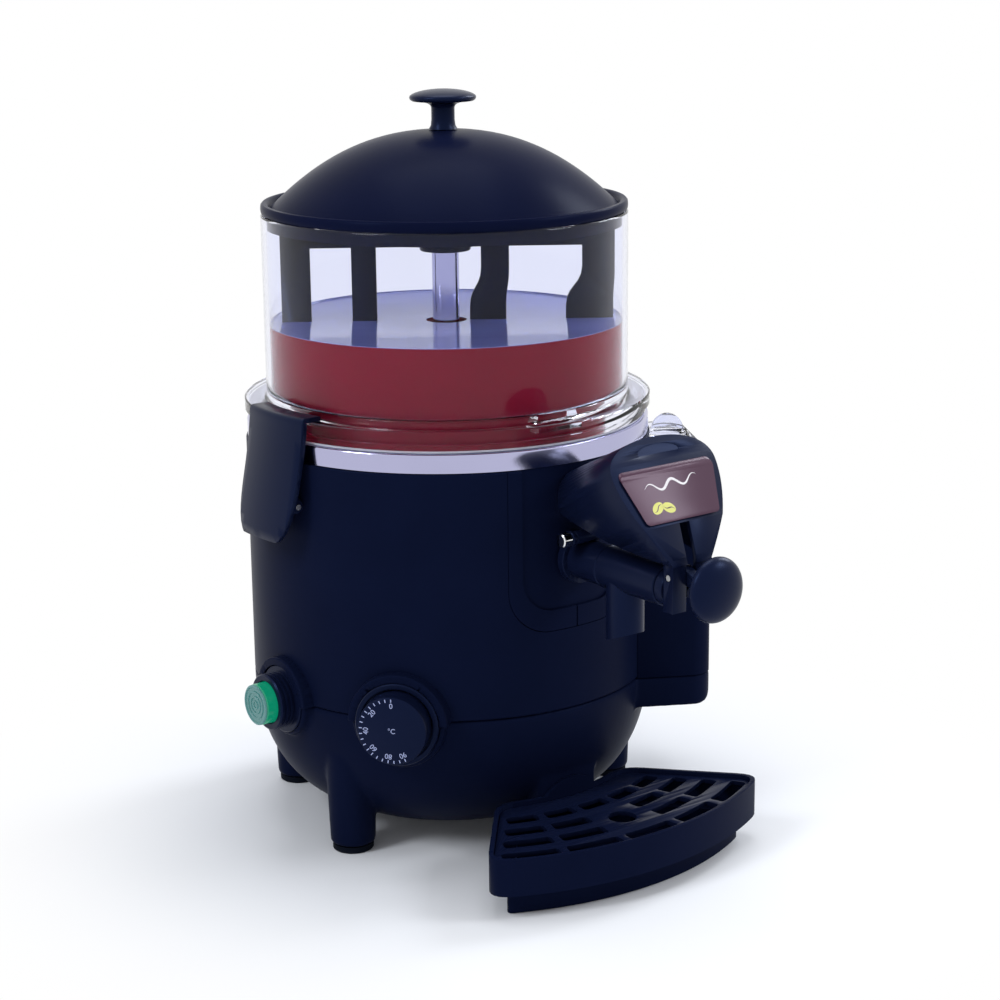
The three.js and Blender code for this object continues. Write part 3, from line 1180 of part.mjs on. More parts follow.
function makeSideHousing() {
  const outer = raised(podPlan(0, podRoot), [bodyBottom, podTop]);
  const inner = raised(podPlan(pod.wall, podRoot - overrun), [bodyBottom - overrun, podTop - pod.wall]);
  const room = drum(body.radius + gap, [0, bodyTop]);
  const { offset, height, halfWidth, rim } = rocker;
  const half = halfWidth - rim + gap;
  const window = block([offset - half, offset + half], [-podReach - overrun, -podReach + pod.wall + overrun],
    [rockerLow + rim - gap, rockerLow + height - rim + gap]);
  return outer.subtract(union([inner, room, window]));
}

function makeRockerFrame() {
  const { offset, height, halfWidth, rim } = rocker;
  const [front, back] = [proud(pod.proud + rocker.frameProud), podReach - rocker.frameDepth];
  const deep = rim * rocker.wellShare;
  const face = block([offset - halfWidth, offset + halfWidth], [-front, -podReach - gap],
    [rockerLow, rockerLow + height]);
  const box = block([offset - halfWidth + rim, offset + halfWidth - rim], [-podReach - 2 * gap, -back],
    [rockerLow + rim, rockerLow + height - rim]);
  const well = block([offset - halfWidth + deep, offset + halfWidth - deep], [-front - overrun, -back - rim],
    [rockerLow + deep, rockerLow + height - deep]);
  return face.add(box).subtract(well);
}

// The water level rocker, seen from the side: its upper half stands proud, its lower half lies flush.
function makeRocker() {
  const r = rocker;
  const deep = r.rim * r.wellShare;
  const half = r.height / 2 - deep - running;
  const middle = rockerLow + r.height / 2;
  const front = proud(pod.proud + r.frameProud);
  const pivot = podReach - r.pivotDepth;
  const shape = outlineOf([[-pivot + 2 * r.rim, middle - r.rim], [-pivot + 2 * r.rim, middle + r.rim],
    [-front, middle + half], [-front - r.crown, middle + half - r.crownDrop],
    [-front - r.rim * r.creaseShare, middle],
    [-front - r.rim * r.footShare, middle - half], [-front + r.rim, middle - half]]);
  const width = r.halfWidth - deep - running;
  return sided(shape, [r.offset - width, r.offset + width]);
}

function makeVessel() {
  const v = vessel;
  const low = podTop + gap;
  const plan = (inset) =>
    roundedBox([-v.half + inset, v.half - inset], [-vesselReach + inset, -podRoot], v.corner - inset, 0);
  const behind = (inset) => drum(body.radius + 2 * gap + inset, [0, bodyTop]);
  const outer = raised(plan(0), [low, vesselTop], v.edge, curves.coarse).subtract(behind(0));
  const inner = raised(plan(v.wall), [low + v.wall, vesselTop - v.wall], 0,
    curves.coarse).subtract(behind(v.wall));
  const mouth = post(v.neckRadius, [vesselTop - v.wall - overrun, vesselTop + overrun], neckReach, 0,
    facets.middle);
  const [root, tip] = [vesselReach - v.wall, vesselReach + v.nubLength];
  const nub = turnedOutward([[0, root], [0, tip], [v.nubRadius * v.nubTipShare, tip],
    [v.nubRadius, tip - v.wall],
    [v.nubRadius, root]], vesselTop - v.nubDrop, facets.tiny);
  return outer.add(nub).subtract(inner.add(mouth));
}

function makeFillerCap() {
  const f = filler;
  const foot = vesselTop + gap;
  const plate = post(f.radius, [foot, foot + f.plate], neckReach, 0, facets.middle);
  const stopper = post(vessel.neckRadius - running,
    [vesselTop - vessel.wall - f.plugDepth, foot + f.plate / 2],
    neckReach, 0, facets.middle);
  const grip = sided(new THREE.Shape().absarc(-neckReach, foot + f.plate, f.gripRadius, 0, Math.PI),
    [-f.gripHalf, f.gripHalf], 0, f.gripSteps);
  return union([plate, stopper, grip]);
}

function makeTray() {
  const t = tray;
  const floor = t.band + t.floor;
  const basin = raised(trayPlan(0), [t.band, t.top], 0, curves.coarse)
    .add(raised(trayPlan(t.step), [t.bottom, t.band + gap], 0, curves.coarse));
  const rooms = [
    [t.wall, [trayLedge, t.top + overrun]],
    [t.wall + t.ledgeWall, [floor, trayLedge + gap]],
    [t.step + t.wall, [t.bottom + t.floor, floor + gap]],
  ].map(([inset, span]) => raised(trayPlan(inset), span, 0, curves.coarse));
  const tab = fronted(new THREE.Shape().absarc(0, t.tabCentre, t.tabRadius, 0, Math.PI), [0, trayOuter], 0,
    t.tabSteps)
    .intersect(band([trayInner, trayInner + t.wall], [t.band, t.tabCentre + t.tabRadius + overrun]));
  return basin.subtract(union(rooms)).add(tab);
}

// A curved slot with cut corners, along an arc of the tray.
function slotPath(radius, from, to) {
  const { slotHalf, corner, arcSteps } = grille;
  const [inner, outer] = [radius - slotHalf, radius + slotHalf];
  const turn = degrees(corner / radius);
  const end = (angle, [first, second]) => [polar(first, angle), polar(second, angle)];
  const points = [...arc(outer, from + turn, to - turn, arcSteps),
    ...end(to, [outer - corner, inner + corner]),
    ...arc(inner, to - turn, from + turn, arcSteps), ...end(from, [inner + corner, outer - corner])];
  return new THREE.Path(points.map(([x, y]) => new THREE.Vector2(x, y)));
}

// The slots of one row. A row beside the drain hole leaves out its middle slot.
function slotRow(row, inset) {
  const g = grille;
  const radius = trayInner + g.rowStart + row * g.rowPitch;
  const rib = degrees(g.rib / radius);
  const limit = sideAngle(radius, inset + g.edge + g.corner);
  const step = (2 * limit + rib) / g.slots;
  const besideHole = Math.abs(radius - trayInner - g.holeStart) < g.rowPitch;
  const places = Array.from({ length: g.slots }, (_, i) => i).filter((i) =>
    !besideHole || 2 * i !== g.slots - 1);
  return places.map((i) => slotPath(radius, -limit + i * step, -limit + (i + 1) * step - rib));
}

function makeGrille() {
  const g = grille;
  const inset = tray.wall + g.clearance;
  const plan = trayPlan(inset);
  for (let row = 0; row < g.rows; row++) plan.holes.push(...slotRow(row, inset));
  plan.holes.push(disc(...polar(trayInner + g.holeStart, 0), g.holeRadius));
  return raised(plan, [trayLedge + gap, trayLedge + gap + g.thickness], 0, g.holeSteps);
}

add("base_shell", makeBaseShell(), finish.shell);
leg.angles.forEach((angle, i) => {
  const [x, y] = polar(legRing, angle);
  add("foot_pad_" + (i + 1), makePad().translate([x, y, 0]), finish.rubber);
});
add("bottom_plate", makeUnderside(), finish.zinc);
screw.angles.forEach((angle, i) => {
  const [x, y] = polar(screwRing, angle);
  add("bottom_screw_" + (i + 1), makeScrew().translate([x, y, 0]), finish.zinc);
});
add("body_shell", makeBodyShell(), finish.shell);
add("front_panel", makeFrontPanel(), finish.shell);
add("bain_marie_tank", makeTank(), finish.steel);
add("tank_gasket", makeGasket(), finish.seal);
add("bowl", makeBowl(), finish.clear);
add("centre_column", makeColumn(), finish.steel);
add("column_seal", makeColumnSeal(), finish.rubber);
add("outlet_seal", makeOutletSeal(), finish.rubber);
add("heating_ring", makeHeater(), finish.zinc);
add("safety_cutout", makeCutout(), finish.zinc);
add("gear_motor", makeGearMotor(), finish.zinc);
add("motor_bracket", makeMotorBracket(), finish.zinc);
add("terminal_block", makeTerminal(), finish.seal);
add("lid", makeLid(), finish.shell);
add("lid_knob", makeLidKnob(), finish.trim);
add("drive_shaft", makeShaft(), finish.steel);
const stirrerFrame = frameAt(stirrer.angle - 90);
addTo(stirrerFrame, "stirrer_hub", makeHub(), finish.trim);
addTo(stirrerFrame, "stirrer_paddle", makePaddle(), finish.trim);

const dialFrame = frameAt(dial.angle);
addTo(dialFrame, "dial_bezel", makeDialBezel(), finish.trim);
addTo(dialFrame, "dial_knob", makeDialKnob(), finish.trim);
addTo(dialFrame, "thermostat", makeThermostat(), finish.zinc);
const powerFrame = frameAt(power.angle);
addTo(powerFrame, "power_bezel", makePowerBezel(), finish.trim);
addTo(powerFrame, "power_button", makePowerButton(), finish.lens);
addTo(powerFrame, "power_switch", makeSwitchBody(), finish.seal);
addTo(frameAt(gland.angle), "cable_gland", makeGland(), finish.trim);

add("tap_barrel", makeTapBarrel(), finish.trim);
add("locking_pin", makeLockingPin(), finish.chrome);
add("barrel_cap", makeBarrelCap(), finish.trim);
add("tap_piston", makePiston(), finish.seal);
add("piston_ring", makePistonRing(), finish.rubber);
add("tap_spring", makeSpring(), finish.steel);
add("tap_cover", makeTapCover(), finish.trim);
add("label_plate", makeLabel(), finish.label);
add("lever_pin", makeLeverPin(), finish.steel);
add("tap_lever", makeLever(), finish.trim);
add("lever_knob", makeLeverKnob(), finish.trim);

["left", "right"].forEach((side, i) => {
  const frame = frameAt(latch.angles[i]);
  addTo(frame, "latch_" + side, makeLatch(), finish.trim);
  addTo(frame, "latch_bracket_" + side, makeLatchBracket(), finish.trim);
  addTo(frame, "latch_pin_" + side, makeLatchPin(), finish.chrome);
});

const podFrame = frameAt(pod.angle);
addTo(podFrame, "side_housing", makeSideHousing(), finish.shell);
addTo(podFrame, "water_vessel", makeVessel(), finish.clear);
addTo(podFrame, "filler_cap", makeFillerCap(), finish.clear);
addTo(podFrame, "rocker_frame", makeRockerFrame(), finish.trim);
addTo(podFrame, "level_rocker", makeRocker(), finish.trim);

add("drip_tray", makeTray(), finish.shell);
add("drip_grille", makeGrille(), finish.trim);

// The part's origin is the middle of its footprint, on the table.
const footprint = new THREE.Box3().setFromObject(machine);
machine.position.set(-(footprint.min.x + footprint.max.x) / 2, -(footprint.min.y + footprint.max.y) / 2, 0);
const dispenser = new THREE.Group();
dispenser.add(machine);

export default dispenser;
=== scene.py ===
from collections import namedtuple
from math import acos, asin, cos, degrees, hypot, pi, radians, sin, tan

import bmesh
import bpy
from mathutils import Matrix, Vector
from mathutils.geometry import tessellate_polygon


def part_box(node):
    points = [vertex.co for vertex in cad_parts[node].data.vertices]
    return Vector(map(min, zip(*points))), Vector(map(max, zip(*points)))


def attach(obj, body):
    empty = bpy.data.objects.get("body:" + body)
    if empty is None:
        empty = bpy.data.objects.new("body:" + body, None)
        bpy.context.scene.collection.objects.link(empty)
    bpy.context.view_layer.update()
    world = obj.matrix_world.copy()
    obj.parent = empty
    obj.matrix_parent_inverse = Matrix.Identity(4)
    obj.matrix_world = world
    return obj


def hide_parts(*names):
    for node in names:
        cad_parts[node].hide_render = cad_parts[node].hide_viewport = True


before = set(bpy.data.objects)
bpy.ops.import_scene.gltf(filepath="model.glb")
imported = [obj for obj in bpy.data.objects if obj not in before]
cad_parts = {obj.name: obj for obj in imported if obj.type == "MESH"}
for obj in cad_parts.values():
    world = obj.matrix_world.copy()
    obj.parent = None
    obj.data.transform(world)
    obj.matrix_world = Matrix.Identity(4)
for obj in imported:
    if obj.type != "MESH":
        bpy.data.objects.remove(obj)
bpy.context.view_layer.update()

# Sizes here are in millimetres in the machine's own frame: its axis is the bowl's, +Z up, the tap toward -Y.
# Angles round the axis are in degrees, from the front (-Y) toward +X.
MM = 0.001
GAP = 0.3  # clearance between neighbours
WELD = 2e-6  # metres within which points are one
FAR = 300  # beyond the whole machine
ROUND = 144  # facets of the large round pieces
MIDDLE = 64
SMALL = 32
FINE = 96  # of the bosses

low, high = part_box("bowl")
AXIS = ((low.x + high.x) / 2, (low.y + high.y) / 2)


def height_of(node):
    """Lowest and highest level of a node, in millimetres."""
    bottom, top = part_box(node)
    return bottom.z / MM, top.z / MM


# Levels and radii shared by several pieces
SEAM = 91.7
BODY_RADIUS = 124
BODY_BOTTOM, BODY_TOP = height_of("body_shell")
TAP_HEIGHT = 184
RIM_FOOT, RIM_TOP = BODY_TOP + GAP, BODY_TOP + 11.2
FLANGE_FOOT = height_of("tank_gasket")[1] + GAP
DRINK_LEVEL = 307


def to_frame(angle=0):
    """From millimetres in the machine's frame, turned by an angle, to the frame's metres."""
    turn = Matrix.Rotation(radians(angle), 4, "Z")
    return Matrix.Translation((AXIS[0], AXIS[1], 0)) @ Matrix.Scale(MM, 4) @ turn


def polar(ring, angle):
    return ring * sin(radians(angle)), -ring * cos(radians(angle))


def arc(ring, start, end, steps):
    return [polar(ring, start + (end - start) * i / steps) for i in range(steps + 1)]


def bezier(a, b, c, d, steps):
    """Points of a cubic curve, without the first."""
    points = []
    for i in range(1, steps + 1):
        t = i / steps
        s = 1 - t
        weights = (s ** 3, 3 * s * s * t, 3 * s * t * t, t ** 3)
        points.append(tuple(sum(w * p[k] for w, p in zip(weights, (a, b, c, d))) for k in range(2)))
    return points


def onward(points, b, c, d, steps):
    """Points with a curve that goes on from the last."""
    return points + bezier(points[-1], b, c, d, steps)


def rounded(outline, radii, steps=6):
    """An outline with each corner rounded by its radius."""
    points = []
    count = len(outline)
    for i, corner in enumerate(outline):
        radius = radii[i]
        here = Vector(corner)
        before = (Vector(outline[i - 1]) - here)
        after = (Vector(outline[(i + 1) % count]) - here)
        if radius <= 0:
            points.append(tuple(here))
            continue
        half = acos(max(-1, min(1, before.normalized().dot(after.normalized())))) / 2
        reach = radius / tan(half)
        middle = here + (before.normalized() + after.normalized()).normalized() * (radius / sin(half))
        start = here + before.normalized() * reach - middle
        end = here + after.normalized() * reach - middle
        sweep = start.angle_signed(end)
        for k in range(steps + 1):
            turn = -sweep * k / steps
            points.append((middle.x + start.x * cos(turn) - start.y * sin(turn),
                           middle.y + start.x * sin(turn) + start.y * cos(turn)))
    return points


def rectangle(x0, x1, y0, y1, low_radius=0, high_radius=0, steps=8):
    corners = [(x0, y0), (x1, y0), (x1, y1), (x0, y1)]
    return rounded(corners, [low_radius, low_radius, high_radius, high_radius], steps)


def ellipse(x, y, wide, tall, count=SMALL, turn=0):
    tilt, around = radians(turn), [2 * pi * i / count for i in range(count)]
    return [(x + wide * cos(t) * cos(tilt) - tall * sin(t) * sin(tilt),
             y + wide * cos(t) * sin(tilt) + tall * sin(t) * cos(tilt)) for t in around]


def circle(x, y, radius, count=SMALL):
    return ellipse(x, y, radius, radius, count)


def linked(name, data):
    """A new object in the scene."""
    obj = bpy.data.objects.new(name, data)
    bpy.context.scene.collection.objects.link(obj)
    return obj


def piece(name, points, faces, angle=0):
    """A mesh object from points in millimetres in the machine's frame."""
    mesh = bpy.data.meshes.new(name)
    mesh.from_pydata([tuple(p) for p in points], [], faces)
    mesh.transform(to_frame(angle))
    made = bmesh.new()
    made.from_mesh(mesh)
    bmesh.ops.remove_doubles(made, verts=made.verts, dist=WELD)
    bmesh.ops.recalc_face_normals(made, faces=made.faces)
    made.to_mesh(mesh)
    made.free()
    return linked(name, mesh)


def swept(name, profile, place, count, angle=0):
    """A profile, closed on itself, turned round a line. place(radius, along, turn) gives a point."""
    around = len(profile)
    points = [place(r, along, 2 * pi * i / count) for i in range(count) for r, along in profile]
    faces = []
    for i in range(count):
        here, there = i * around, (i + 1) % count * around
        for k in range(around):
            after = (k + 1) % around
            faces.append((here + k, here + after, there + after, there + k))
    return piece(name, points, faces, angle)


def lathe(name, profile, angle=0, count=ROUND, centre=(0, 0)):
    """[radius, height] points turned round a vertical line."""
    def place(r, z, turn):
        return centre[0] + r * sin(turn), centre[1] - r * cos(turn), z

    return swept(name, profile, place, count, angle)


def outward(name, profile, height, angle=0, count=MIDDLE):
    """[radius, reach] points turned round a level line that points outward."""
    def place(r, reach, turn):
        return r * cos(turn), -reach, height + r * sin(turn)

    return swept(name, profile, place, count, angle)


def rod(name, radius, span, reach, height, count=SMALL, edge=0.4):
    """A rod along X with softened ends."""
    x0, x1 = span
    profile = [(0, x0), (radius - edge, x0), (radius, x0 + edge), (radius, x1 - edge), (radius - edge, x1),
               (0, x1)]

    def place(r, x, turn):
        return x, -reach + r * cos(turn), height + r * sin(turn)

    return swept(name, profile, place, count)


def prism(name, loops, place, angle=0):
    """A solid between two copies of an outline with holes. place(u, v, end) gives a point at either end."""
    flat = [[Vector((u, v, 0)) for u, v in loop] for loop in loops]
    caps = tessellate_polygon(flat)
    total = sum(len(loop) for loop in loops)
    points = [place(u, v, end) for end in (0, 1) for loop in loops for u, v in loop]
    faces = [tuple(cap) for cap in caps] + [tuple(total + i for i in reversed(cap)) for cap in caps]
    first = 0
    for loop in loops:
        for k in range(len(loop)):
            a, b = first + k, first + (k + 1) % len(loop)
            faces.append((a, b, total + b, total + a))
        first += len(loop)
    return piece(name, points, faces, angle)


def raised(name, loops, bottom, top, angle=0):
    return prism(name, loops, lambda u, v, end: (u, v, top if end else bottom), angle)


def fronted(name, loops, near, far, angle=0):
    return prism(name, loops, lambda u, v, end: (u, -(far if end else near), v), angle)


def sided(name, loops, left, right, angle=0):
    return prism(name, loops, lambda u, v, end: (right if end else left, u, v), angle)


def block(name, x, y, z, angle=0):
    return raised(name, [rectangle(x[0], x[1], y[0], y[1])], z[0], z[1], angle)


def applied(obj):
    """The object with its modifiers made real."""
    graph = bpy.context.evaluated_depsgraph_get()
    graph.update()
    mesh = bpy.data.meshes.new_from_object(obj.evaluated_get(graph))
    old = obj.data
    obj.modifiers.clear()
    obj.data = mesh
    bpy.data.meshes.remove(old)
    return obj


def joined(operation, target, *others):
    """Adds, cuts or keeps what others share with a target, and drops them."""
    for other in others:
        step = target.modifiers.new("join", "BOOLEAN")
        step.object = other
        step.operation = operation
        step.solver = "MANIFOLD"
        applied(target)
        bpy.data.objects.remove(other)
    return target


def union(target, *others):
    return joined("UNION", target, *others)


def cut(target, *others):
    return joined("DIFFERENCE", target, *others)


def common(target, *others):
    return joined("INTERSECT", target, *others)


def copy_of(node, name):
    """A new piece with a node's own shape."""
    obj = linked(name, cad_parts[node].data.copy())
    made = bmesh.new()
    made.from_mesh(obj.data)
    bmesh.ops.remove_doubles(made, verts=made.verts, dist=WELD)
    bmesh.ops.dissolve_limit(made, angle_limit=radians(1), verts=made.verts, edges=made.edges)
    made.to_mesh(obj.data)
    made.free()
    if obj.data.attributes.get("custom_normal"):
        obj.data.attributes.remove(obj.data.attributes["custom_normal"])
    return obj


SHARP_AFTER = 50  # degrees, once the edges are softened


def shade(mesh, sharp):
    """Smooth shading, broken at edges sharper than an angle."""
    made = bmesh.new()
    made.from_mesh(mesh)
    for face in made.faces:
        face.smooth = True
    for side in made.edges:
        side.smooth = len(side.link_faces) == 2 and side.calc_face_angle() < radians(sharp)
    made.to_mesh(mesh)
    made.free()


def dress(obj, material, body="machine", stands_for=None, edge=0.5, sharp=32, segments=2):
    """Smooth shading, softened edges, a material and a body for a piece."""
    shade(obj.data, sharp)
    if edge:
        soften = obj.modifiers.new("edges", "BEVEL")
        soften.width = edge * MM
        soften.segments = segments
        soften.limit_method = "ANGLE"
        soften.angle_limit = radians(sharp)
        soften.harden_normals = True
        applied(obj)
        shade(obj.data, SHARP_AFTER)
    obj.data.materials.clear()
    obj.data.materials.append(material)
    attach(obj, body)
    if stands_for:
        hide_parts(stands_for)
    return obj


def dress_trim(obj, stands_for, body="machine", edge=0, sharp=32, segments=2):
    """A piece of the glossy black trim."""
    return dress(obj, GLOSS, body, stands_for, edge, sharp, segments)


RADIAL_LIMIT = 6  # degrees by which a face of a round wall may lean


def round_normals(obj, centre=(0, 0), level=0):
    """Exact normals on faces that run round a line, which cuts had left uneven.

    The line stands at centre, or points outward at a level height."""
    mesh = obj.data
    origin = to_frame() @ Vector((centre[0], centre[1], level))
    along = Vector((0, 1, 0)) if level else Vector((0, 0, 1))

    def spoke(point):
        out = point - origin
        return out - along * out.dot(along)

    normals = [corner.vector.copy() for corner in mesh.corner_normals]
    for face in mesh.polygons:
        out = spoke(face.center)
        if out.length < WELD or abs(out.normalized().dot(face.normal)) < cos(radians(RADIAL_LIMIT)):
            continue
        sign = 1 if out.dot(face.normal) > 0 else -1
        for loop in face.loop_indices:
            normals[loop] = spoke(mesh.vertices[mesh.loops[loop].vertex_index].co).normalized() * sign
    mesh.normals_split_custom_set(normals)
    return obj


# Materials

SPREAD = 0.04  # by which a plastic's roughness varies


def set_inputs(node, **values):
    """Sets a node's inputs, their names written with _ for a space."""
    for name, value in values.items():
        node.inputs[name.replace("_", " ")].default_value = value
    return node


class Finish:
    """A material's nodes, put together step by step."""

    def __init__(self, name):
        self.material = bpy.data.materials.new(name)
        self.material.use_nodes = True
        self.nodes, self.links = self.material.node_tree.nodes, self.material.node_tree.links
        self.shader = self.nodes["Principled BSDF"]
        self.where = self.nodes.new("ShaderNodeTexCoord").outputs["Object"]

    def noise(self, scale, detail=3, roughness=0.5):
        texture = set_inputs(self.nodes.new("ShaderNodeTexNoise"), Scale=scale, Detail=detail,
                             Roughness=roughness)
        self.links.new(self.where, texture.inputs["Vector"])
        return texture.outputs["Fac"]

    def stretched(self, scale):
        """Draws the patterns that follow out along some axes."""
        mapping = set_inputs(self.nodes.new("ShaderNodeMapping"), Scale=scale)
        self.links.new(self.where, mapping.inputs["Vector"])
        self.where = mapping.outputs["Vector"]

    def rough(self, source, low, high):
        ramp = set_inputs(self.nodes.new("ShaderNodeMapRange"), To_Min=low, To_Max=high)
        self.links.new(source, ramp.inputs["Value"])
        self.links.new(ramp.outputs["Result"], self.shader.inputs["Roughness"])

    def bump(self, source, strength, distance=0.0002):
        bump = set_inputs(self.nodes.new("ShaderNodeBump"), Strength=strength, Distance=distance)
        self.links.new(source, bump.inputs["Height"])
        self.links.new(bump.outputs["Normal"], self.shader.inputs["Normal"])

    def tint(self, source, color, dark=1, light=1):
        """A colour that varies between two shares of itself."""
        mix = self.nodes.new("ShaderNodeMix")
        mix.data_type = "RGBA"
        self.links.new(source, mix.inputs[0])
        mix.inputs[6].default_value = (*(c * dark for c in color), 1)
        mix.inputs[7].default_value = (*(c * light for c in color), 1)
        self.links.new(mix.outputs[2], self.shader.inputs["Base Color"])


def plastic(name, color, roughness, grain=0.05, specular=0.3, tint=(0.6, 0.75, 1.0)):
    """Moulded plastic with a fine grain and slight unevenness of shine."""
    finish = Finish(name)
    broad = finish.noise(22, 2)
    finish.tint(broad, color, 0.85, 1.15)
    finish.rough(broad, roughness - SPREAD, roughness + SPREAD)
    finish.bump(finish.noise(2600, 2, 0.6), grain)
    set_inputs(finish.shader, Specular_IOR_Level=specular, Specular_Tint=(*tint, 1))
    return finish.material


def metal(name, color, roughness, stretch=(1, 1, 1)):
    """Metal with brushing round its axis, or a plain rolled surface."""
    finish = Finish(name)
    finish.tint(finish.noise(30, 2), color, 0.92)
    finish.stretched(stretch)
    streaks = finish.noise(900)
    finish.rough(streaks, roughness * 0.7, roughness * 1.35)
    finish.bump(streaks, 0.06)
    set_inputs(finish.shader, Metallic=1)
    return finish.material


def clear(name, color, roughness, ior):
    """Clear moulded plastic with faint flow marks."""
    finish = Finish(name)
    broad = finish.noise(14, 2)
    finish.tint(broad, color, 0.985)
    finish.rough(broad, roughness * 0.6, roughness * 1.4)
    finish.bump(broad, 0.05, 0.0004)
    set_inputs(finish.shader, Transmission_Weight=1, IOR=ior)
    return finish.material


def drink(name, color, shine):
    """Hot chocolate: opaque, with a little light inside it."""
    finish = Finish(name)
    finish.tint(finish.noise(35), color, 0.9, 1.1)
    finish.bump(finish.noise(60, 2), 0.08, 0.0006)
    set_inputs(finish.shader, Roughness=0.12, Specular_IOR_Level=shine, Subsurface_Weight=0.1,
               Subsurface_Radius=(0.006, 0.002, 0.001))
    return finish.material


def glowing_lens(name, color, glow):
    """Moulded lens with a light behind it."""
    finish = Finish(name)
    finish.tint(finish.noise(120, 2), color, 0.8)
    set_inputs(finish.shader, Roughness=0.12, Transmission_Weight=0.3, Emission_Color=(*glow, 1),
               Emission_Strength=0.5)
    return finish.material


# Base colour of the black plastics: their own near-black, with a painted bluish sheen of the reflected
# surroundings mixed in, which makes it navy
DARK = (0.0042, 0.0068, 0.0240)
# Specular tint of the dark plastics: a painted bluish reflection colour, standing for the bluish surroundings
# they reflect
PAINTED_BLUE_REFLECTION = (0.3, 0.45, 1.0)
SHELL = plastic("satin_black", DARK, 0.36, 0.08, 0.02, PAINTED_BLUE_REFLECTION)
GLOSS = plastic("gloss_black", DARK, 0.30, 0.04, 0.14, PAINTED_BLUE_REFLECTION)
# The lid's base colour carries the same painted bluish sheen
LID = plastic("lid_black", (0.0042, 0.0062, 0.0240), 0.30, 0.05, 0.02, PAINTED_BLUE_REFLECTION)
RUBBER = plastic("rubber", (0.004, 0.005, 0.008), 0.75, 0.2, 0.1, PAINTED_BLUE_REFLECTION)
MARK = plastic("dial_print", (0.42, 0.47, 0.72), 0.5, 0.02, 0.3)
WHITE = plastic("white_plastic", (0.62, 0.62, 0.66), 0.45, 0.03, 0.4)
LABEL = plastic("label_brown", (0.066, 0.027, 0.050), 0.25, 0.02, 0.25, (1, 0.8, 0.9))
LABEL_PRINT = plastic("label_print", (0.80, 0.76, 0.76), 0.35, 0.02, 0.3, (1, 1, 1))
LABEL_BEAN = plastic("label_bean", (0.72, 0.70, 0.16), 0.35, 0.02, 0.3, (1, 1, 1))
STEEL = metal("brushed_steel", (0.62, 0.63, 0.68), 0.2, (1, 1, 30))
# Lavender base colour of the polished steel: neutral steel with a painted reflection of the bluish
# surroundings
SHINY = metal("polished_steel", (0.46, 0.46, 0.66), 0.1, (1, 1, 20))
CHROME = metal("chrome", (0.82, 0.83, 0.86), 0.08)
ZINC = metal("zinc_plate", (0.42, 0.43, 0.45), 0.42)
CLEAR = clear("clear_plastic", (0.88, 0.895, 0.99), 0.02, 1.22)
DRINK = drink("hot_chocolate", (0.270, 0.013, 0.032), 0.01)
# Pale blue material for a thin layer on the drink's top: a painted reflection of the bright surroundings on
# the hot chocolate
DRINK_PAINTED_REFLECTION = drink("hot_chocolate_surface", (0.30, 0.34, 0.86), 1.0)
LENS = glowing_lens("green_lens", (0.01, 0.20, 0.11), (0.0, 0.30, 0.16))
LENS_FACE = glowing_lens("lens_face", (0.10, 0.24, 0.25), (0.02, 0.12, 0.10))


# Camera, light and floor

CAMERA_ANGLE, CAMERA_DISTANCE, CAMERA_HEIGHT = 36.5, 1377.3, 544.1
CAMERA_PITCH, CAMERA_TURN, CAMERA_ROLL, CAMERA_LENS = 14.3, 1.309, 0.639, 82.23


def make_camera():
    data = bpy.data.cameras.new("camera")
    data.lens = CAMERA_LENS
    camera = linked("camera", data)
    heading = Matrix.Rotation(-radians(CAMERA_ANGLE + CAMERA_TURN), 4, "Z")
    tilt = Matrix.Rotation(radians(90 - CAMERA_PITCH), 4, "X")
    roll = Matrix.Rotation(-radians(CAMERA_ROLL), 4, "Z")
    x, y = polar(CAMERA_DISTANCE, -CAMERA_ANGLE)
    place = Matrix.Translation((AXIS[0] + x * MM, AXIS[1] + y * MM, CAMERA_HEIGHT * MM))
    camera.matrix_world = place @ heading @ tilt @ roll
    bpy.context.scene.camera = camera


def area_light(name, where, aim, size, power, color):
    data = bpy.data.lights.new(name, "AREA")
    data.shape = "RECTANGLE"
    data.size, data.size_y = size
    data.energy = power
    data.color = color
    lamp = linked(name, data)
    lamp.location = where
    lamp.rotation_mode = "QUATERNION"
    lamp.rotation_quaternion = (Vector(aim) - Vector(where)).to_track_quat("-Z", "Y")
    lamp.visible_camera = False


def background_rays(nodes, links):
    """1 for rays that see the background: the camera's, and those through glass and off what shines."""
    path = nodes.new("ShaderNodeLightPath")
    first, second = nodes.new("ShaderNodeMath"), nodes.new("ShaderNodeMath")
    first.operation = second.operation = "MAXIMUM"
    links.new(path.outputs["Is Camera Ray"], first.inputs[0])
    links.new(path.outputs["Is Transmission Ray"], first.inputs[1])
    links.new(first.outputs[0], second.inputs[0])
    links.new(path.outputs["Is Glossy Ray"], second.inputs[1])
    return second.outputs[0]


def mixed(nodes, links, share, first, second, out):
    """Shows one shader or another on a surface, by a share."""
    mix = nodes.new("ShaderNodeMixShader")
    links.new(share, mix.inputs[0])
    links.new(first.outputs[0], mix.inputs[1])
    links.new(second.outputs[0], mix.inputs[2])
    links.new(mix.outputs[0], out.inputs["Surface"])


def make_world():
    """White as a background, plain light on the object."""
    world = bpy.data.worlds.new("studio")
    bpy.context.scene.world = world
    world.use_nodes = True
    nodes, links = world.node_tree.nodes, world.node_tree.links
    nodes.clear()
    out = nodes.new("ShaderNodeOutputWorld")
    plain = set_inputs(nodes.new("ShaderNodeBackground"), Color=(0.93, 0.95, 1.0, 1), Strength=0.5)
    white = set_inputs(nodes.new("ShaderNodeBackground"), Color=(1, 1, 1, 1))
    mixed(nodes, links, background_rays(nodes, links), plain, white, out)


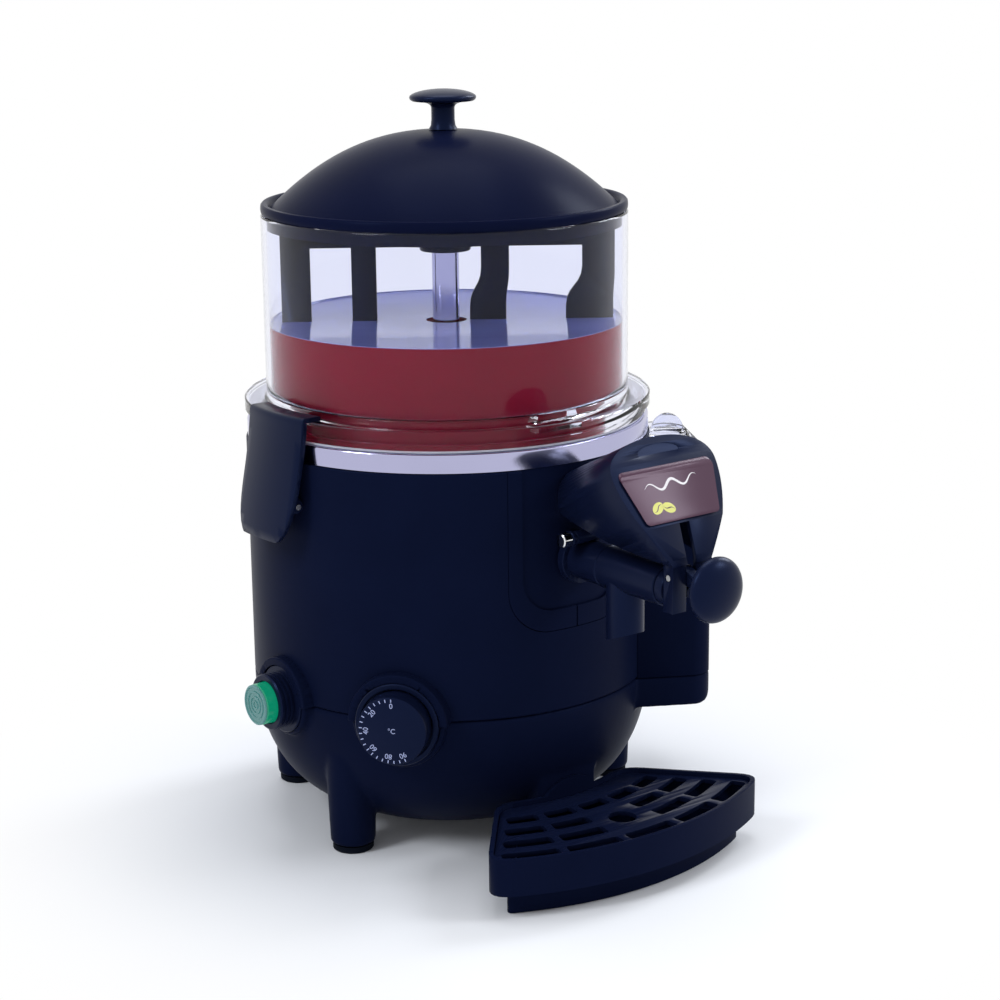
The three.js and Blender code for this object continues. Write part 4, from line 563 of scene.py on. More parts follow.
def make_floor():
    """A white floor that keeps the object's shadow near it and fades into the white background."""
    half = 6
    mesh = bpy.data.meshes.new("floor")
    mesh.from_pydata([(-half, -half, 0), (half, -half, 0), (half, half, 0), (-half, half, 0)], [],
                     [(0, 1, 2, 3)])
    floor = linked("floor", mesh)
    material = bpy.data.materials.new("floor_white")
    material.use_nodes = True
    nodes, links = material.node_tree.nodes, material.node_tree.links
    nodes.clear()
    out = nodes.new("ShaderNodeOutputMaterial")
    matt = set_inputs(nodes.new("ShaderNodeBsdfDiffuse"), Color=(0.9, 0.9, 0.91, 1))
    glow = nodes.new("ShaderNodeEmission")
    where = nodes.new("ShaderNodeTexCoord")
    distance = nodes.new("ShaderNodeVectorMath")
    distance.operation = "DISTANCE"
    distance.inputs[1].default_value = (AXIS[0], AXIS[1] - 0.03, 0)
    links.new(where.outputs["Object"], distance.inputs[0])
    fade = set_inputs(nodes.new("ShaderNodeMapRange"), From_Min=0.14, From_Max=0.36)
    fade.interpolation_type = "SMOOTHSTEP"
    links.new(distance.outputs["Value"], fade.inputs["Value"])
    share = nodes.new("ShaderNodeMath")
    share.operation = "MULTIPLY"
    links.new(fade.outputs["Result"], share.inputs[0])
    links.new(background_rays(nodes, links), share.inputs[1])
    mixed(nodes, links, share.outputs[0], matt, glow, out)
    mesh.materials.append(material)


def make_lights():
    middle = (AXIS[0], AXIS[1], 0.22)
    cool = (0.88, 0.93, 1.0)
    area_light("left_box", (-1.9, 0.1, 1.7), middle, (0.6, 1.0), 22, cool)
    area_light("right_box", (1.9, 0.1, 1.5), middle, (0.6, 1.0), 22, cool)
    area_light("front_box", (1.38, -1.4, 1.6), middle, (0.7, 0.7), 16, cool)
    area_light("top_box", (0.2, 0.4, 2.2), middle, (1.2, 1.2), 16, (0.92, 0.95, 1.0))


# The drum: base, body shell, front panel, tank rim and gasket

LEG_ANGLES, LEG_RING = (-144, -72, 72, 144), 106
DIAL_ANGLE, POWER_ANGLE, GLAND_ANGLE, POD_ANGLE = -51, -90, -160, 60
Boss = namedtuple("Boss", "angle arch arch_reach chin chin_reach bore")
BOSSES = (Boss(DIAL_ANGLE, 30, 130, 28, 127.5, 25), Boss(POWER_ANGLE, 25.5, 129, 23, 127, 20.5),
          Boss(GLAND_ANGLE, 14, 127.5, 13, 126, 6))
POD_HALF, POD_REACH, POD_CORNER, POD_WALL = 64, 154, 13, 2.6
POD_FOOT = 72.7
PANEL_HALF, PANEL_BOTTOM, PANEL_CORNER = 44.6, 141.2, 26


def knob_profile(radius, root, reach, edge):
    """The profile of a round boss with a softened rim."""
    return [(0, root), (radius, root), (radius, reach - edge), (radius - edge * 0.3, reach - edge * 0.3),
            (radius - edge, reach), (0, reach)]


def full(radius, start, end):
    """The profile of a plain drum."""
    return [(0, start), (radius, start), (radius, end), (0, end)]


def tube_cut(radius, start, end):
    """The profile of a plain rod that points outward."""
    return [(0, start), (0, end), (radius, end), (radius, start)]


def bore_of(boss, count):
    return outward("bore", tube_cut(boss.bore + GAP, 80, 180), SEAM, boss.angle, count)


def pod_room(back, steps):
    """The plan of the room in the side housing, open at the back."""
    half = POD_HALF - POD_WALL
    return rectangle(-half, half, -POD_REACH + POD_WALL, back, POD_CORNER - POD_WALL, 0, steps)


def make_base():
    side = onward([(74, 11)], (112, 22), (BODY_RADIUS, 58), (BODY_RADIUS, SEAM - 0.8), 28)
    parts = [lathe("base_look", [(0, 11)] + side + [(BODY_RADIUS - 0.8, SEAM), (0, SEAM)])]
    leg = [(0, 4.3), (12.6, 4.3), (13.6, 5.6), (15.5, 62), (11, 78), (0, 80)]
    for angle in LEG_ANGLES:
        parts.append(lathe("leg", leg, 0, 48, polar(LEG_RING, angle)))
    plan = rectangle(-POD_HALF, POD_HALF, -POD_REACH, -100, POD_CORNER, 0, 10)
    side = rectangle(-POD_REACH, 0, POD_FOOT, SEAM + 8, 7)
    parts.append(common(raised("pod_low", [plan], POD_FOOT, SEAM, POD_ANGLE),
                        sided("pod_edge", [side], -POD_HALF, POD_HALF, POD_ANGLE)))
    for boss in BOSSES:
        parts.append(outward("chin", knob_profile(boss.chin, 90, boss.chin_reach, 1.6), SEAM, boss.angle))
    stop = lathe("stop", [(90, 17), (116.4, 17), (116.4, 50), (90, 50)])
    parts.append(common(stop, block("stop_width", (-22, 22), (-130, -80), (10, 60))))
    whole = union(*parts)
    cut(whole, block("above", (-200, 200), (-200, 200), (SEAM, 200)))
    blend = whole.modifiers.new("blend", "REMESH")
    blend.mode = "VOXEL"
    blend.voxel_size = 1.3 * MM
    applied(whole)
    smooth = whole.modifiers.new("smooth", "SMOOTH")
    smooth.iterations = 6
    applied(whole)
    hollow = onward([(0, 14.5), (72, 14.5)], (108, 25), (120, 61), (120, SEAM - 4), 12)
    cut(whole, lathe("hollow", hollow + [(120, SEAM + 9), (0, SEAM + 9)], 0, 72))
    for boss in BOSSES:
        cut(whole, bore_of(boss, MIDDLE))
    cut(whole, raised("pod_room", [pod_room(-119, 8)], POD_FOOT + POD_WALL, SEAM + 9, POD_ANGLE))
    cut(whole, lathe("hole", full(56, 0, 30), 0, 72))
    dress(whole, SHELL, stands_for="base_shell", edge=0, sharp=50)


def make_body():
    shell = lathe("body_look", [(121, BODY_BOTTOM), (123.2, BODY_BOTTOM), (124, BODY_BOTTOM + 0.8),
                                (124, BODY_TOP - 1.5), (123.6, BODY_TOP - 0.4), (122.5, BODY_TOP),
                                (108, BODY_TOP), (108, BODY_TOP - 3), (121, BODY_TOP - 3)])
    for boss in BOSSES:
        arch = outward("arch", knob_profile(boss.arch, 112, boss.arch_reach, 1.2), SEAM, boss.angle, FINE)
        cut(arch, block("below", (-200, 200), (-200, 200), (0, BODY_BOTTOM)),
            lathe("lip_room", full(121, 0, 97), 0, FINE), lathe("core", full(119.5, 0, FAR), 0, FINE))
        union(shell, arch)
    for boss in BOSSES:
        cut(shell, bore_of(boss, FINE))
    opening = rectangle(-PANEL_HALF, PANEL_HALF, PANEL_BOTTOM, FAR, PANEL_CORNER, 0, 12)
    cut(shell, fronted("opening", [opening], 0, 140))
    round_normals(dress(shell, SHELL, stands_for="body_shell", edge=0.45))


def make_panel():
    half, bottom = PANEL_HALF - 0.5, PANEL_BOTTOM + 0.5
    face = lathe("panel_look", [(118, bottom), (124, bottom), (124, BODY_TOP - 1.5), (122.5, BODY_TOP),
                                (118, BODY_TOP)])
    outline = rectangle(-half, half, bottom, FAR, PANEL_CORNER - 0.5, 0, 12)
    common(face, fronted("outline", [outline], 0, 140))
    inset = rectangle(-36, 36, 154, FAR, 20, 0, 12)
    recess = lathe("recess", [(122.5, 100), (130, 100), (130, FAR), (122.5, FAR)])
    cut(face, common(recess, fronted("inset", [inset], 0, 140)),
        outward("barrel_hole", tube_cut(12.3, 0, 140), TAP_HEIGHT),
        block("slit", (-0.5, 0.5), (-126, -122.5), (100, 156)))
    round_normals(dress(face, SHELL, stands_for="front_panel", edge=0.45))


def make_tank():
    foot, top, sheet, floor, hole = RIM_FOOT, RIM_TOP, 1.2, 158, 8.6
    rim = [(105, floor), (105, top - sheet), (121.8, top - sheet), (121.8, foot), (123, foot),
           (123, top - sheet), (122.6, top - 0.4), (121.8, top), (103.8, top), (103.8, floor + sheet),
           (hole, floor + sheet), (hole, floor)]
    dress(lathe("tank_look", rim), SHINY, stands_for="bain_marie_tank", edge=0)
    low, high = height_of("tank_gasket")
    dress(lathe("gasket_look", [(107, low), (120.5, low), (120.5, high), (107, high)]), WHITE,
          stands_for="tank_gasket", edge=0)


# The bowl, what is in it, and the lid


WELL_REACH = 86


def make_bowl():
    foot, step, top, rim = FLANGE_FOOT, 256.5, 264, 374
    cup = 100
    profile = onward([(8.7, 197), (84, 197)], (93, 197), (cup, 204), (cup, 213), 8)
    profile += [(cup, foot), (121.6, foot), (121.6, step), (123.4, step), (124, step + 0.6), (124, top - 0.8),
                (123.2, top), (112.6, top), (111.2, top + 0.5), (110.6, top + 1.8), (110.6, rim - 1),
                (109.8, rim), (108.4, rim), (107.6, rim - 0.8), (107.6, 271)]
    profile = onward(profile, (107.6, 267), (105, 265.6), (99, 265.2), 6)
    profile = onward(profile + [(97, 264.2), (97, 216)], (97, 206), (91, 200), (81, 200), 8)
    profile += [(12, 200), (12, 232), (8.7, 232)]
    bowl = lathe("bowl_look", profile)
    centre = (0, -WELL_REACH)
    union(bowl, lathe("well", full(13, 170.5, 199), 0, 48, centre),
          outward("outlet", tube_cut(10.4, WELL_REACH, 120.4), TAP_HEIGHT, 0, 48))
    cut(bowl, lathe("well_bore", full(10.4, 173.1, 203), 0, 48, centre),
        outward("outlet_bore", tube_cut(8, WELL_REACH, 124), TAP_HEIGHT, 0, 48))
    arch = rectangle(-15, 15, step, 275, 0, 14.9, 10)
    cut(bowl, fronted("arch", [arch], 95, 105))
    round_normals(dress(bowl, CLEAR, stands_for="bowl", edge=0, sharp=40))


def make_drink():
    level = DRINK_LEVEL
    profile = onward([(12.4, 200.4), (80, 200.4)], (90, 200.4), (96.6, 207), (96.6, 217), 8)
    profile += [(96.6, 264.6), (99, 265.7), (105, 266.3), (107.2, 271), (107.2, level + 1.6),
                (106.4, level + 0.5), (104.6, level), (12.4, level)]
    dress(lathe("drink", profile), DRINK, "stirrer", edge=0, sharp=50)
    # A thin pale blue layer over the drink's top, for the painted reflection
    reflection_layer = [(12.4, level + 0.05), (104.6, level + 0.05), (106.4, level + 0.55), (107.2, level + 1.65),
            (107.2, level + 1.9), (106.2, level + 0.8), (104.6, level + 0.3), (12.4, level + 0.3)]
    dress(lathe("drink_surface", reflection_layer), DRINK_PAINTED_REFLECTION, "stirrer", edge=0, sharp=50)


def make_column():
    low, high = height_of("centre_column")
    profile = [(5.1, low), (8.2, low), (8.2, 153.2), (14, 153.2), (14, 157.7), (8.2, 157.7),
               (8.2, high - 0.6), (7.6, high), (5.1, high)]
    dress(lathe("column_look", profile, 0, MIDDLE), SHINY, stands_for="centre_column", edge=0)
    seal = [(8.5, 232.3), (12, 232.3), (12, 234), (11, 235.4), (8.5, 236)]
    dress(lathe("column_seal_look", seal, 0, MIDDLE), RUBBER, stands_for="column_seal", edge=0)
    hub_low, hub_high = height_of("stirrer_hub")
    hub = [(4.9, hub_low), (15, hub_low), (15.5, hub_low + 0.5), (15.5, hub_low + 2.4), (15, hub_low + 2.9),
           (11.2, hub_low + 2.9), (11.2, hub_high - 1.4), (9.8, hub_high), (4.9, hub_high)]
    dress_trim(lathe("hub_look", hub, 0, MIDDLE), "stirrer_hub", "stirrer")
    dress_trim(copy_of("stirrer_paddle", "paddle_look"), "stirrer_paddle", "stirrer", 0.6, 30)


DOME_RADIUS, DOME_FOOT, DOME_RISE = 104.6, 377.2, 44.8


def dome(radius):
    """The lid's height at a radius."""
    return DOME_FOOT + DOME_RISE * (1 - (radius / DOME_RADIUS) ** 2.31)


def make_lid():
    steps = 26
    radii = [4.6 + 100 * (1 - (i / steps) ** 1.5) for i in range(steps + 1)]
    radii[0] = DOME_RADIUS
    outer = [(r, max(dome(r), 376.2)) for r in radii]
    inner = [(r, dome(r) - 2.2) for r in radii if r < 100]
    profile = [(104.5, 366.3), (106.9, 366.3), (106.9, 374.3), (109.4, 374.3), (110.3, 375.3), (110.5, 377),
               (110.3, 379.4), (109.4, 380.4), (107.2, 380.5), (106, 379.6), (105.4, 378.2)]
    profile += outer + list(reversed(inner)) + [(103, 374.3)]
    dress(lathe("lid_look", profile), LID, "lid", "lid", 0, 45)
    low, top = height_of("lid_knob")
    stem = [(0, low), (8, low), (8, 419.2), (4, 419.2), (4, 421.9), (8.6, 422.4), (7.4, 424.5), (7, 428),
            (7, 435)]
    cap = bezier((7, 435), (7, 438), (13, 438.6), (18.5, 439), 6)
    cap += [(19.6, 439.8), (20, 441), (19.7, 442)] + bezier((19.7, 442), (17, 444.6), (8, top), (0, top), 8)
    dress_trim(lathe("lid_knob_look", stem + cap, 0, MIDDLE), "lid_knob", "lid", sharp=45)


# The bosses on the seam


DIAL_FACE = 142.05
DIAL_SWEEP, DIAL_TICKS = 205, 20


def make_dial():
    sink, reach = 128.5, 131.5
    bezel = [(3.4, 108), (3.4, sink), (21.6, sink), (21.6, reach - 0.6), (22.2, reach), (24.4, reach),
             (25, reach - 0.6), (25, 108)]
    dress_trim(outward("dial_bezel_look", bezel, SEAM, DIAL_ANGLE, FINE), "dial_bezel")
    knob = [(0, 96), (3, 96), (3, 128.9), (20.7, 128.9), (20.7, 140.6), (20.3, 141.5), (19.4, 142), (0, 142)]
    dress_trim(outward("dial_knob_look", knob, SEAM, DIAL_ANGLE, FINE), "dial_knob", "dial")
    for number, turn in ((0, 0), (20, 48), (40, 92), (60, 134), (80, 172), (90, DIAL_SWEEP)):
        write("dial_number_%d" % number, str(number), 4.4, 15.3, turn)
    for i in range(DIAL_TICKS):
        tick("dial_tick_%d" % i, i * DIAL_SWEEP / (DIAL_TICKS - 1))
    write("dial_unit", "°C", 4.2, 0, 0)


def write(name, text, size, ring, turn):
    """A number printed on the dial, upright at the top and turned with the scale."""
    data = bpy.data.curves.new(name, "FONT")
    data.body = text
    data.size = size
    data.align_x, data.align_y = "CENTER", "CENTER"
    data.extrude = 0.06
    words = linked(name, data)
    graph = bpy.context.evaluated_depsgraph_get()
    mesh = bpy.data.meshes.new_from_object(words.evaluated_get(graph))
    bpy.data.objects.remove(words)
    face = Matrix.Translation((0, -DIAL_FACE, SEAM)) @ Matrix.Rotation(pi / 2, 4, "X")
    around = Matrix.Rotation(radians(turn), 4, "Z") @ Matrix.Translation((0, ring, 0))
    mesh.transform(to_frame(DIAL_ANGLE) @ face @ around)
    dress(linked(name, mesh), MARK, "dial", edge=0, sharp=60)


def tick(name, turn):
    half, inner, outer = 0.28, 17.7, 19.5
    corners = [(-half, inner), (half, inner), (half, outer), (-half, outer)]
    a = radians(turn)
    corners = [(x * cos(a) - y * sin(a), SEAM + x * sin(a) + y * cos(a)) for x, y in corners]
    mark = fronted(name, [corners], 141.95, DIAL_FACE + 0.05, DIAL_ANGLE)
    dress(mark, MARK, "dial", edge=0)


def make_power():
    bore, reach = 12.8, 138.5
    bezel = [(bore, 108), (bore, reach - 0.5), (bore + 0.5, reach), (16.2, reach), (17, reach - 0.8)]
    for i in range(3):
        at = reach - 2 - 3 * i
        bezel += [(17, at), (15.9, at - 0.4), (15.9, at - 1.4), (17, at - 1.8)]
    bezel += [(17, 128.4), (20, 128.2), (20.5, 127.6), (20.5, 108)]
    dress_trim(outward("power_bezel_look", bezel, SEAM, POWER_ANGLE, FINE), "power_bezel")
    button = [(0, 122), (12.4, 122), (12.4, 144.6), (12, 145.2), (0, 145.2)]
    dress(outward("power_button_look", button, SEAM, POWER_ANGLE, FINE), LENS, "power_button", "power_button",
          0)
    face = [(0, 145.3), (12, 145.3), (12.3, 145.6), (12.2, 146.1), (11.6, 146.5), (10.9, 146.5),
            (10.5, 145.9)]
    for ring in (8, 5, 2.2):
        face += [(ring + 0.6, 145.9), (ring + 0.4, 146.4), (ring - 0.4, 146.4), (ring - 0.6, 145.9)]
    dress(outward("lens_face", face + [(0, 145.9)], SEAM, POWER_ANGLE, FINE), LENS_FACE, "power_button",
          edge=0)


def make_gland():
    gland = [(3.6, 114), (3.6, 139), (5.4, 139), (6.4, 138.4), (8.2, 136), (10, 133), (10, 127.8), (6, 127.8),
             (6, 114)]
    dress_trim(outward("gland_look", gland, SEAM, GLAND_ANGLE, 12), "cable_gland", edge=0.3)


# The tap: barrel, cover, lever and pin


SPOUT_REACH, SPOUT_END, MOUTH_TILT = 166.5, 146, 20
PIN_REACH, PIN_HEIGHT = 136, 199.5


def mouth_height(reach):
    """The level of the spout's slanted end."""
    return SPOUT_END + (reach - SPOUT_REACH) * tan(radians(MOUTH_TILT))


def make_barrel():
    outer = [(10.7, 107.9), (10.7, 121), (9, 121), (9, 140), (6.2, 140), (6.2, 148), (9, 148), (9, 203),
             (11.4, 203), (12, 202.4), (12, 154), (12.7, 153.5), (12.7, 152.5), (12, 152), (12, 129),
             (14.6, 129), (15, 128.6), (15, 124.3), (12, 124.3), (12, 107.9)]
    barrel = outward("barrel_look", outer, TAP_HEIGHT)
    centre = (0, -SPOUT_REACH)
    spout = lathe("spout", full(11, 120, TAP_HEIGHT), 0, MIDDLE, centre)
    mouth = [(-250, mouth_height(250)), (-80, mouth_height(80)), (-80, 60), (-250, 60)]
    cut(spout, sided("mouth", [mouth], -40, 40))
    tube = rod("tube", 4, (-12.6, 19), PIN_REACH, PIN_HEIGHT)
    for part in (spout, tube):
        cut(part, outward("core", tube_cut(9, 100, 220), TAP_HEIGHT))
    union(barrel, spout, tube)
    cut(barrel, lathe("spout_bore", full(8.6, 100, TAP_HEIGHT), 0, MIDDLE, centre),
        rod("pin_bore", 2.8, (-16, 17), PIN_REACH, PIN_HEIGHT, edge=0.01))
    dress_trim(barrel, "tap_barrel", edge=0.35, sharp=40)
    round_normals(round_normals(barrel, (0, 0), TAP_HEIGHT), centre)
    cap = [(1.9, 197), (1.9, 209.3), (10.2, 209.3), (10.8, 209), (11, 208.5), (11, 203.3), (8.6, 203.3),
           (8.6, 197)]
    dress_trim(outward("barrel_cap_look", cap, TAP_HEIGHT), "barrel_cap")


def make_pin():
    """The knurled chrome head and the pin that locks the tap."""
    flutes, ring = 18, 4.25
    head = rod("pin_head", 4.2, (-22.6, -16.2), PIN_REACH, PIN_HEIGHT, 72, 0.6)
    for i in range(flutes):
        turn = 2 * pi * i / flutes
        reach, height = PIN_REACH - ring * cos(turn), PIN_HEIGHT + ring * sin(turn)
        cut(head, rod("flute", 0.42, (-21.6, -10), reach, height, 6, 0.05))
    dress(head, CHROME, "locking_pin", "locking_pin", 0)
    collar = rod("pin_collar", 4.6, (-16.2, -13.2), PIN_REACH, PIN_HEIGHT, MIDDLE, 0.5)
    dress(collar, GLOSS, "locking_pin", edge=0)
    stem = rod("pin_stem", 2.5, (-13.2, 16.7), PIN_REACH, PIN_HEIGHT)
    dress(stem, CHROME, "locking_pin", edge=0)


COVER_TILT, LOW_TILT, ROOF_TILT, COVER_REACH, COVER_HEIGHT = 31.1, 18, 25, 205.2, 240
COVER_WALL, COVER_FRONT, COVER_WIDE, COVER_NECK, SKIRT_HALF = 2.6, 221.5, 38, 11, 13.4
SHIELD_TOP, SHIELD_FOOT, SHIELD_NECK, WIDEST_AT = 31, -42, 15, 12


def shield_outline(inset, steps=14):
    """The hood's front, drawn in: it widens from its neck, and narrows again to a rounded top."""
    top, wide, narrow = SHIELD_TOP - inset, COVER_WIDE - inset, SHIELD_NECK - inset
    waist = (COVER_WIDE * 0.7 - inset, SHIELD_FOOT * 0.62)
    right = [(narrow, SHIELD_FOOT - 4), (narrow, SHIELD_FOOT)]
    right += bezier((narrow, SHIELD_FOOT), waist, (wide, -WIDEST_AT / 2), (wide, WIDEST_AT), steps)
    right += bezier((wide, WIDEST_AT), (wide, SHIELD_TOP * 0.8 - inset), (wide * 0.55, top), (0, top), steps)
    return right + [(-u, v) for u, v in reversed(right[:-1])]


def on_shield(name, loops, start, depth, along=ROOF_TILT, far_share=1):
    """An outline on the cover's sloping front, run back along a slope and narrower at its far end."""
    tilt, back = radians(COVER_TILT), radians(along)
    up = Vector((0, sin(tilt), cos(tilt)))
    inward = Vector((0, cos(back), -sin(back)))
    origin = Vector((0, -COVER_REACH, COVER_HEIGHT))

    def place(u, v, end):
        across = Vector((u * (far_share if end else 1), 0, 0))
        return origin + across + up * v + inward * (start + (depth if end else 0))

    return prism(name, loops, place)


def on_face(name, loop, start, depth=0.14):
    """A flat piece on the cover's front, square to it."""
    return on_shield(name, [loop], start, depth, -COVER_TILT)


def before_low_face(inset):
    """All that stands in front of the cover's lower face, or of that face drawn in."""
    slope = tan(radians(LOW_TILT))
    reach = COVER_REACH + 17 * tan(radians(COVER_TILT)) - inset / cos(radians(LOW_TILT))
    return sided("ahead", [[(-reach - 80 * slope, 143), (-reach + 80 * slope, 303), (-400, 303),
                            (-400, 143)]], -80, 80)


def make_hood(inset, start):
    depth = (COVER_REACH - 121) / cos(radians(ROOF_TILT))
    share = (COVER_NECK - inset) / (COVER_WIDE - inset)
    return cut(on_shield("cover_look", [shield_outline(inset)], start, depth, ROOF_TILT, share),
               before_low_face(inset))


def make_cover():
    """The hood with its skirt, and a shallow dish over the label."""
    low, back_low = 201, 212
    slope = (back_low - low) / (COVER_FRONT - BODY_RADIUS)
    below = [(-FAR, low - (FAR - COVER_FRONT) * slope), (0, low + COVER_FRONT * slope), (0, 0), (-FAR, 0)]
    outer = make_hood(0, 0)
    cut(outer, sided("below", [below], -80, 80), make_hood(COVER_WALL, COVER_WALL / cos(radians(COVER_TILT))))
    skirt = block("skirt", (-SKIRT_HALF, SKIRT_HALF), (-COVER_FRONT, -213.5), (174, 206))
    inside = SKIRT_HALF - COVER_WALL
    room = block("room", (-inside, inside), (-COVER_FRONT + COVER_WALL, -205), (160, 209))
    union(outer, cut(skirt, room, before_low_face(0)))
    cut(outer, block("slot", (-3.6, 3.6), (-COVER_FRONT - 6, -211.7), (160, 223)),
        lathe("drum", full(BODY_RADIUS + GAP, 100, FAR)), rod("pin_hole", 2.1, (-30, 30), 217, 193.6),
        on_face("dish", ellipse(0, 22, 15, 4.6, 40), -1, 1.6))
    dress_trim(outer, "tap_cover", edge=1.1, sharp=34, segments=3)


def stroke(points, half):
    """The outline of a line that tapers to both its ends."""
    sides = ([], [])
    for i, (x, y) in enumerate(points):
        before, after = points[max(i - 1, 0)], points[min(i + 1, len(points) - 1)]
        dx, dy = after[0] - before[0], after[1] - before[1]
        width = half * sin(pi * (i + 0.5) / len(points)) / hypot(dx, dy)
        sides[0].append((x + dy * width, y - dx * width))
        sides[1].append((x - dy * width, y + dx * width))
    return sides[0] + sides[1][::-1]


PRINT_START = -2.83  # just in front of the label


def make_label():
    corners = [(-26.4, -16), (26.4, -16), (34.6, 14.4), (-34.6, 14.4)]
    plate = on_face("label_look", rounded(corners, [3.2] * 4), -2.75, 2.4)
    dress(plate, LABEL, stands_for="label_plate", edge=0.8, segments=3)
    swirl = [(-20 + 0.62 * i, 4.4 + 0.03 * i + 2.3 * sin(i * 0.24)) for i in range(64)]
    dress(on_face("label_swirl", stroke(swirl, 0.75), PRINT_START), LABEL_PRINT, edge=0)
    for k, (u, v, turn) in enumerate(((-15.5, -7.2, 28), (-7.8, -8, -22))):
        a = radians(turn)
        wave = [(x, 0.7 * sin(x * 0.8)) for x in [-3.6 + 0.6 * i for i in range(13)]]
        slit = [(u + x * cos(a) - y * sin(a), v + x * sin(a) + y * cos(a)) for x, y in wave]
        bean = ellipse(u, v, 4.4, 2.9, 36, turn)
        dress(on_face("label_bean_%d" % k, bean, PRINT_START), LABEL_BEAN, edge=0)
        dress(on_face("label_slit_%d" % k, stroke(slit, 0.3), PRINT_START - 0.05), LABEL, edge=0)


def make_lever():
    radius, reach, height, steps = 18.6, 241, 190, 14
    turns = [pi / 2 * i / steps for i in range(steps + 1)]
    front = [(radius * cos(t), reach + 8.5 * sin(t)) for t in turns]
    back = [(radius * cos(t), reach - 6.5 * sin(t)) for t in reversed(turns[1:])]
    knob = outward("lever_knob_look", back + front, height)
    cut(knob, outward("socket", tube_cut(3.7, 200, 238.3), height, 0, SMALL))
    dress_trim(knob, "lever_knob", "lever")
    dress_trim(copy_of("tap_lever", "lever_look"), "tap_lever", "lever", 0.3)


# Latches


def make_latches():
    sill, thick, half, shoulder, tip = 264.3, 2.8, 28, 232, 12
    hook, foot, low, high = sill + thick, 194, 192, 269
    outer = onward([(115.5, hook), (125.4, hook)], (127.6, hook), (128.2, sill + 1), (128.2, sill - thick), 5)
    outer = onward(outer, (131, shoulder), (137.2, 215), (140, foot), 12)
    inner = onward([(137.2, foot)], (134.4, 215), (128.2, shoulder), (124.7, sill - thick), 12)
    mask = onward([(-tip, low), (tip, low)], (half, foot), (half, shoulder - tip), (half, shoulder), 10)
    mask += [(half, high), (-half, high), (-half, shoulder)]
    mask = onward(mask, (-half, shoulder - tip), (-half, foot), (-tip, low), 10)[:-1]
    for side, angle in (("left", -90), ("right", 112)):
        belt = lathe("latch_" + side + "_look", outer + inner + [(124.7, sill), (115.5, sill)], angle)
        shell = common(belt, fronted("mask", [mask], 0, 150, angle))
        dress_trim(shell, "latch_" + side, "latch_" + side, 0.5, 40)
        for ear in (-1, 1):
            span = sorted((ear * 20.8, ear * 24))
            web = sided("ear", [circle(-127.4, 215, 4, SMALL)], span[0], span[1], angle)
            web = union(web, block("web", span, (-132.2, -127.4), (212.2, 217.8), angle))
            web.name = "latch_ear_" + side + ("_a" if ear < 0 else "_b")
            dress(web, GLOSS, "latch_" + side, edge=0.2)
        knuckle = copy_of("latch_bracket_" + side, "latch_knuckle_" + side)
        dress_trim(knuckle, "latch_bracket_" + side, edge=0.3)


# The side pod


def make_pod():
    low, top = height_of("side_housing")
    outline = rectangle(-POD_HALF, POD_HALF, -POD_REACH, -100, POD_CORNER, 0, 12)
    shell = raised("housing_look", [outline], low, top, POD_ANGLE)
    cut(shell, raised("inner", [pod_room(-90, 12)], low - 5, top - POD_WALL, POD_ANGLE),
        lathe("drum", full(BODY_RADIUS + GAP, 0, FAR)),
        block("window", (-27.8, -16.2), (-160, -148), (94.3, 111.9), POD_ANGLE))
    dress(shell, SHELL, stands_for="side_housing", edge=1.2, sharp=40, segments=3)
    dress_trim(copy_of("rocker_frame", "rocker_frame_look"), "rocker_frame", edge=0.3)
    dress_trim(copy_of("level_rocker", "rocker_look"), "level_rocker", "rocker", 0.3)


FILLER_REACH = 137.6


def make_vessel():
    low, top = height_of("water_vessel")
    plan = rectangle(-33, 33, -152, -100, 8, 0, 10)
    outer = cut(raised("vessel_look", [plan], low, top, POD_ANGLE), lathe("drum", full(124.6, 100, FAR)))
    inside = rectangle(-31, 31, -150, -100, 6, 0, 10)
    inner = cut(raised("vessel_room", [inside], low + 2, top - 2, POD_ANGLE),
                lathe("drum", full(126.6, 100, FAR)))
    nub = outward("nub", knob_profile(3, 150, 156, 0.8), 224, POD_ANGLE, SMALL)
    where = polar(FILLER_REACH, POD_ANGLE)
    outer = cut(union(outer, nub), inner, lathe("mouth", full(9.7, top - 4, top + 2), 0, 48, where))
    dress(outer, CLEAR, stands_for="water_vessel", edge=0.8, sharp=40, segments=3)
    foot = top + GAP
    disc = lathe("filler_look", [(0, 224), (9.3, 224), (9.3, foot), (12.2, foot), (12.6, foot + 0.4),
                                 (12.6, foot + 1.6), (12.2, foot + 2), (0, foot + 2)], 0, MIDDLE, where)
    grip = [(-FILLER_REACH + 10 * cos(pi * i / 24), foot + 1.9 + 10 * sin(pi * i / 24)) for i in range(25)]
    union(disc, sided("grip", [grip], -1.6, 1.6, POD_ANGLE))
    dress(disc, CLEAR, "filler_cap", "filler_cap", 0.3)


# The drip tray


TRAY_INNER, TRAY_OUTER, TRAY_SPLAY, TRAY_OFFSET, TRAY_CORNER = 116.7, 201, 41, 33.2, 14
TRAY_BAND, TRAY_TOP, TRAY_WALL, TRAY_STEP = 15, 37, 2.6, 10


def side_angle(ring, inset):
    """The angle at which the tray's side, drawn in, crosses a ring."""
    return TRAY_SPLAY - degrees(asin((TRAY_OFFSET + inset) / ring))


def bend(a, b, c, steps=6):
    """A soft corner from a to c with its peak toward b, both ends left out."""
    return [tuple((1 - t) ** 2 * a[k] + 2 * t * (1 - t) * b[k] + t * t * c[k] for k in range(2))
            for t in [i / steps for i in range(1, steps)]]


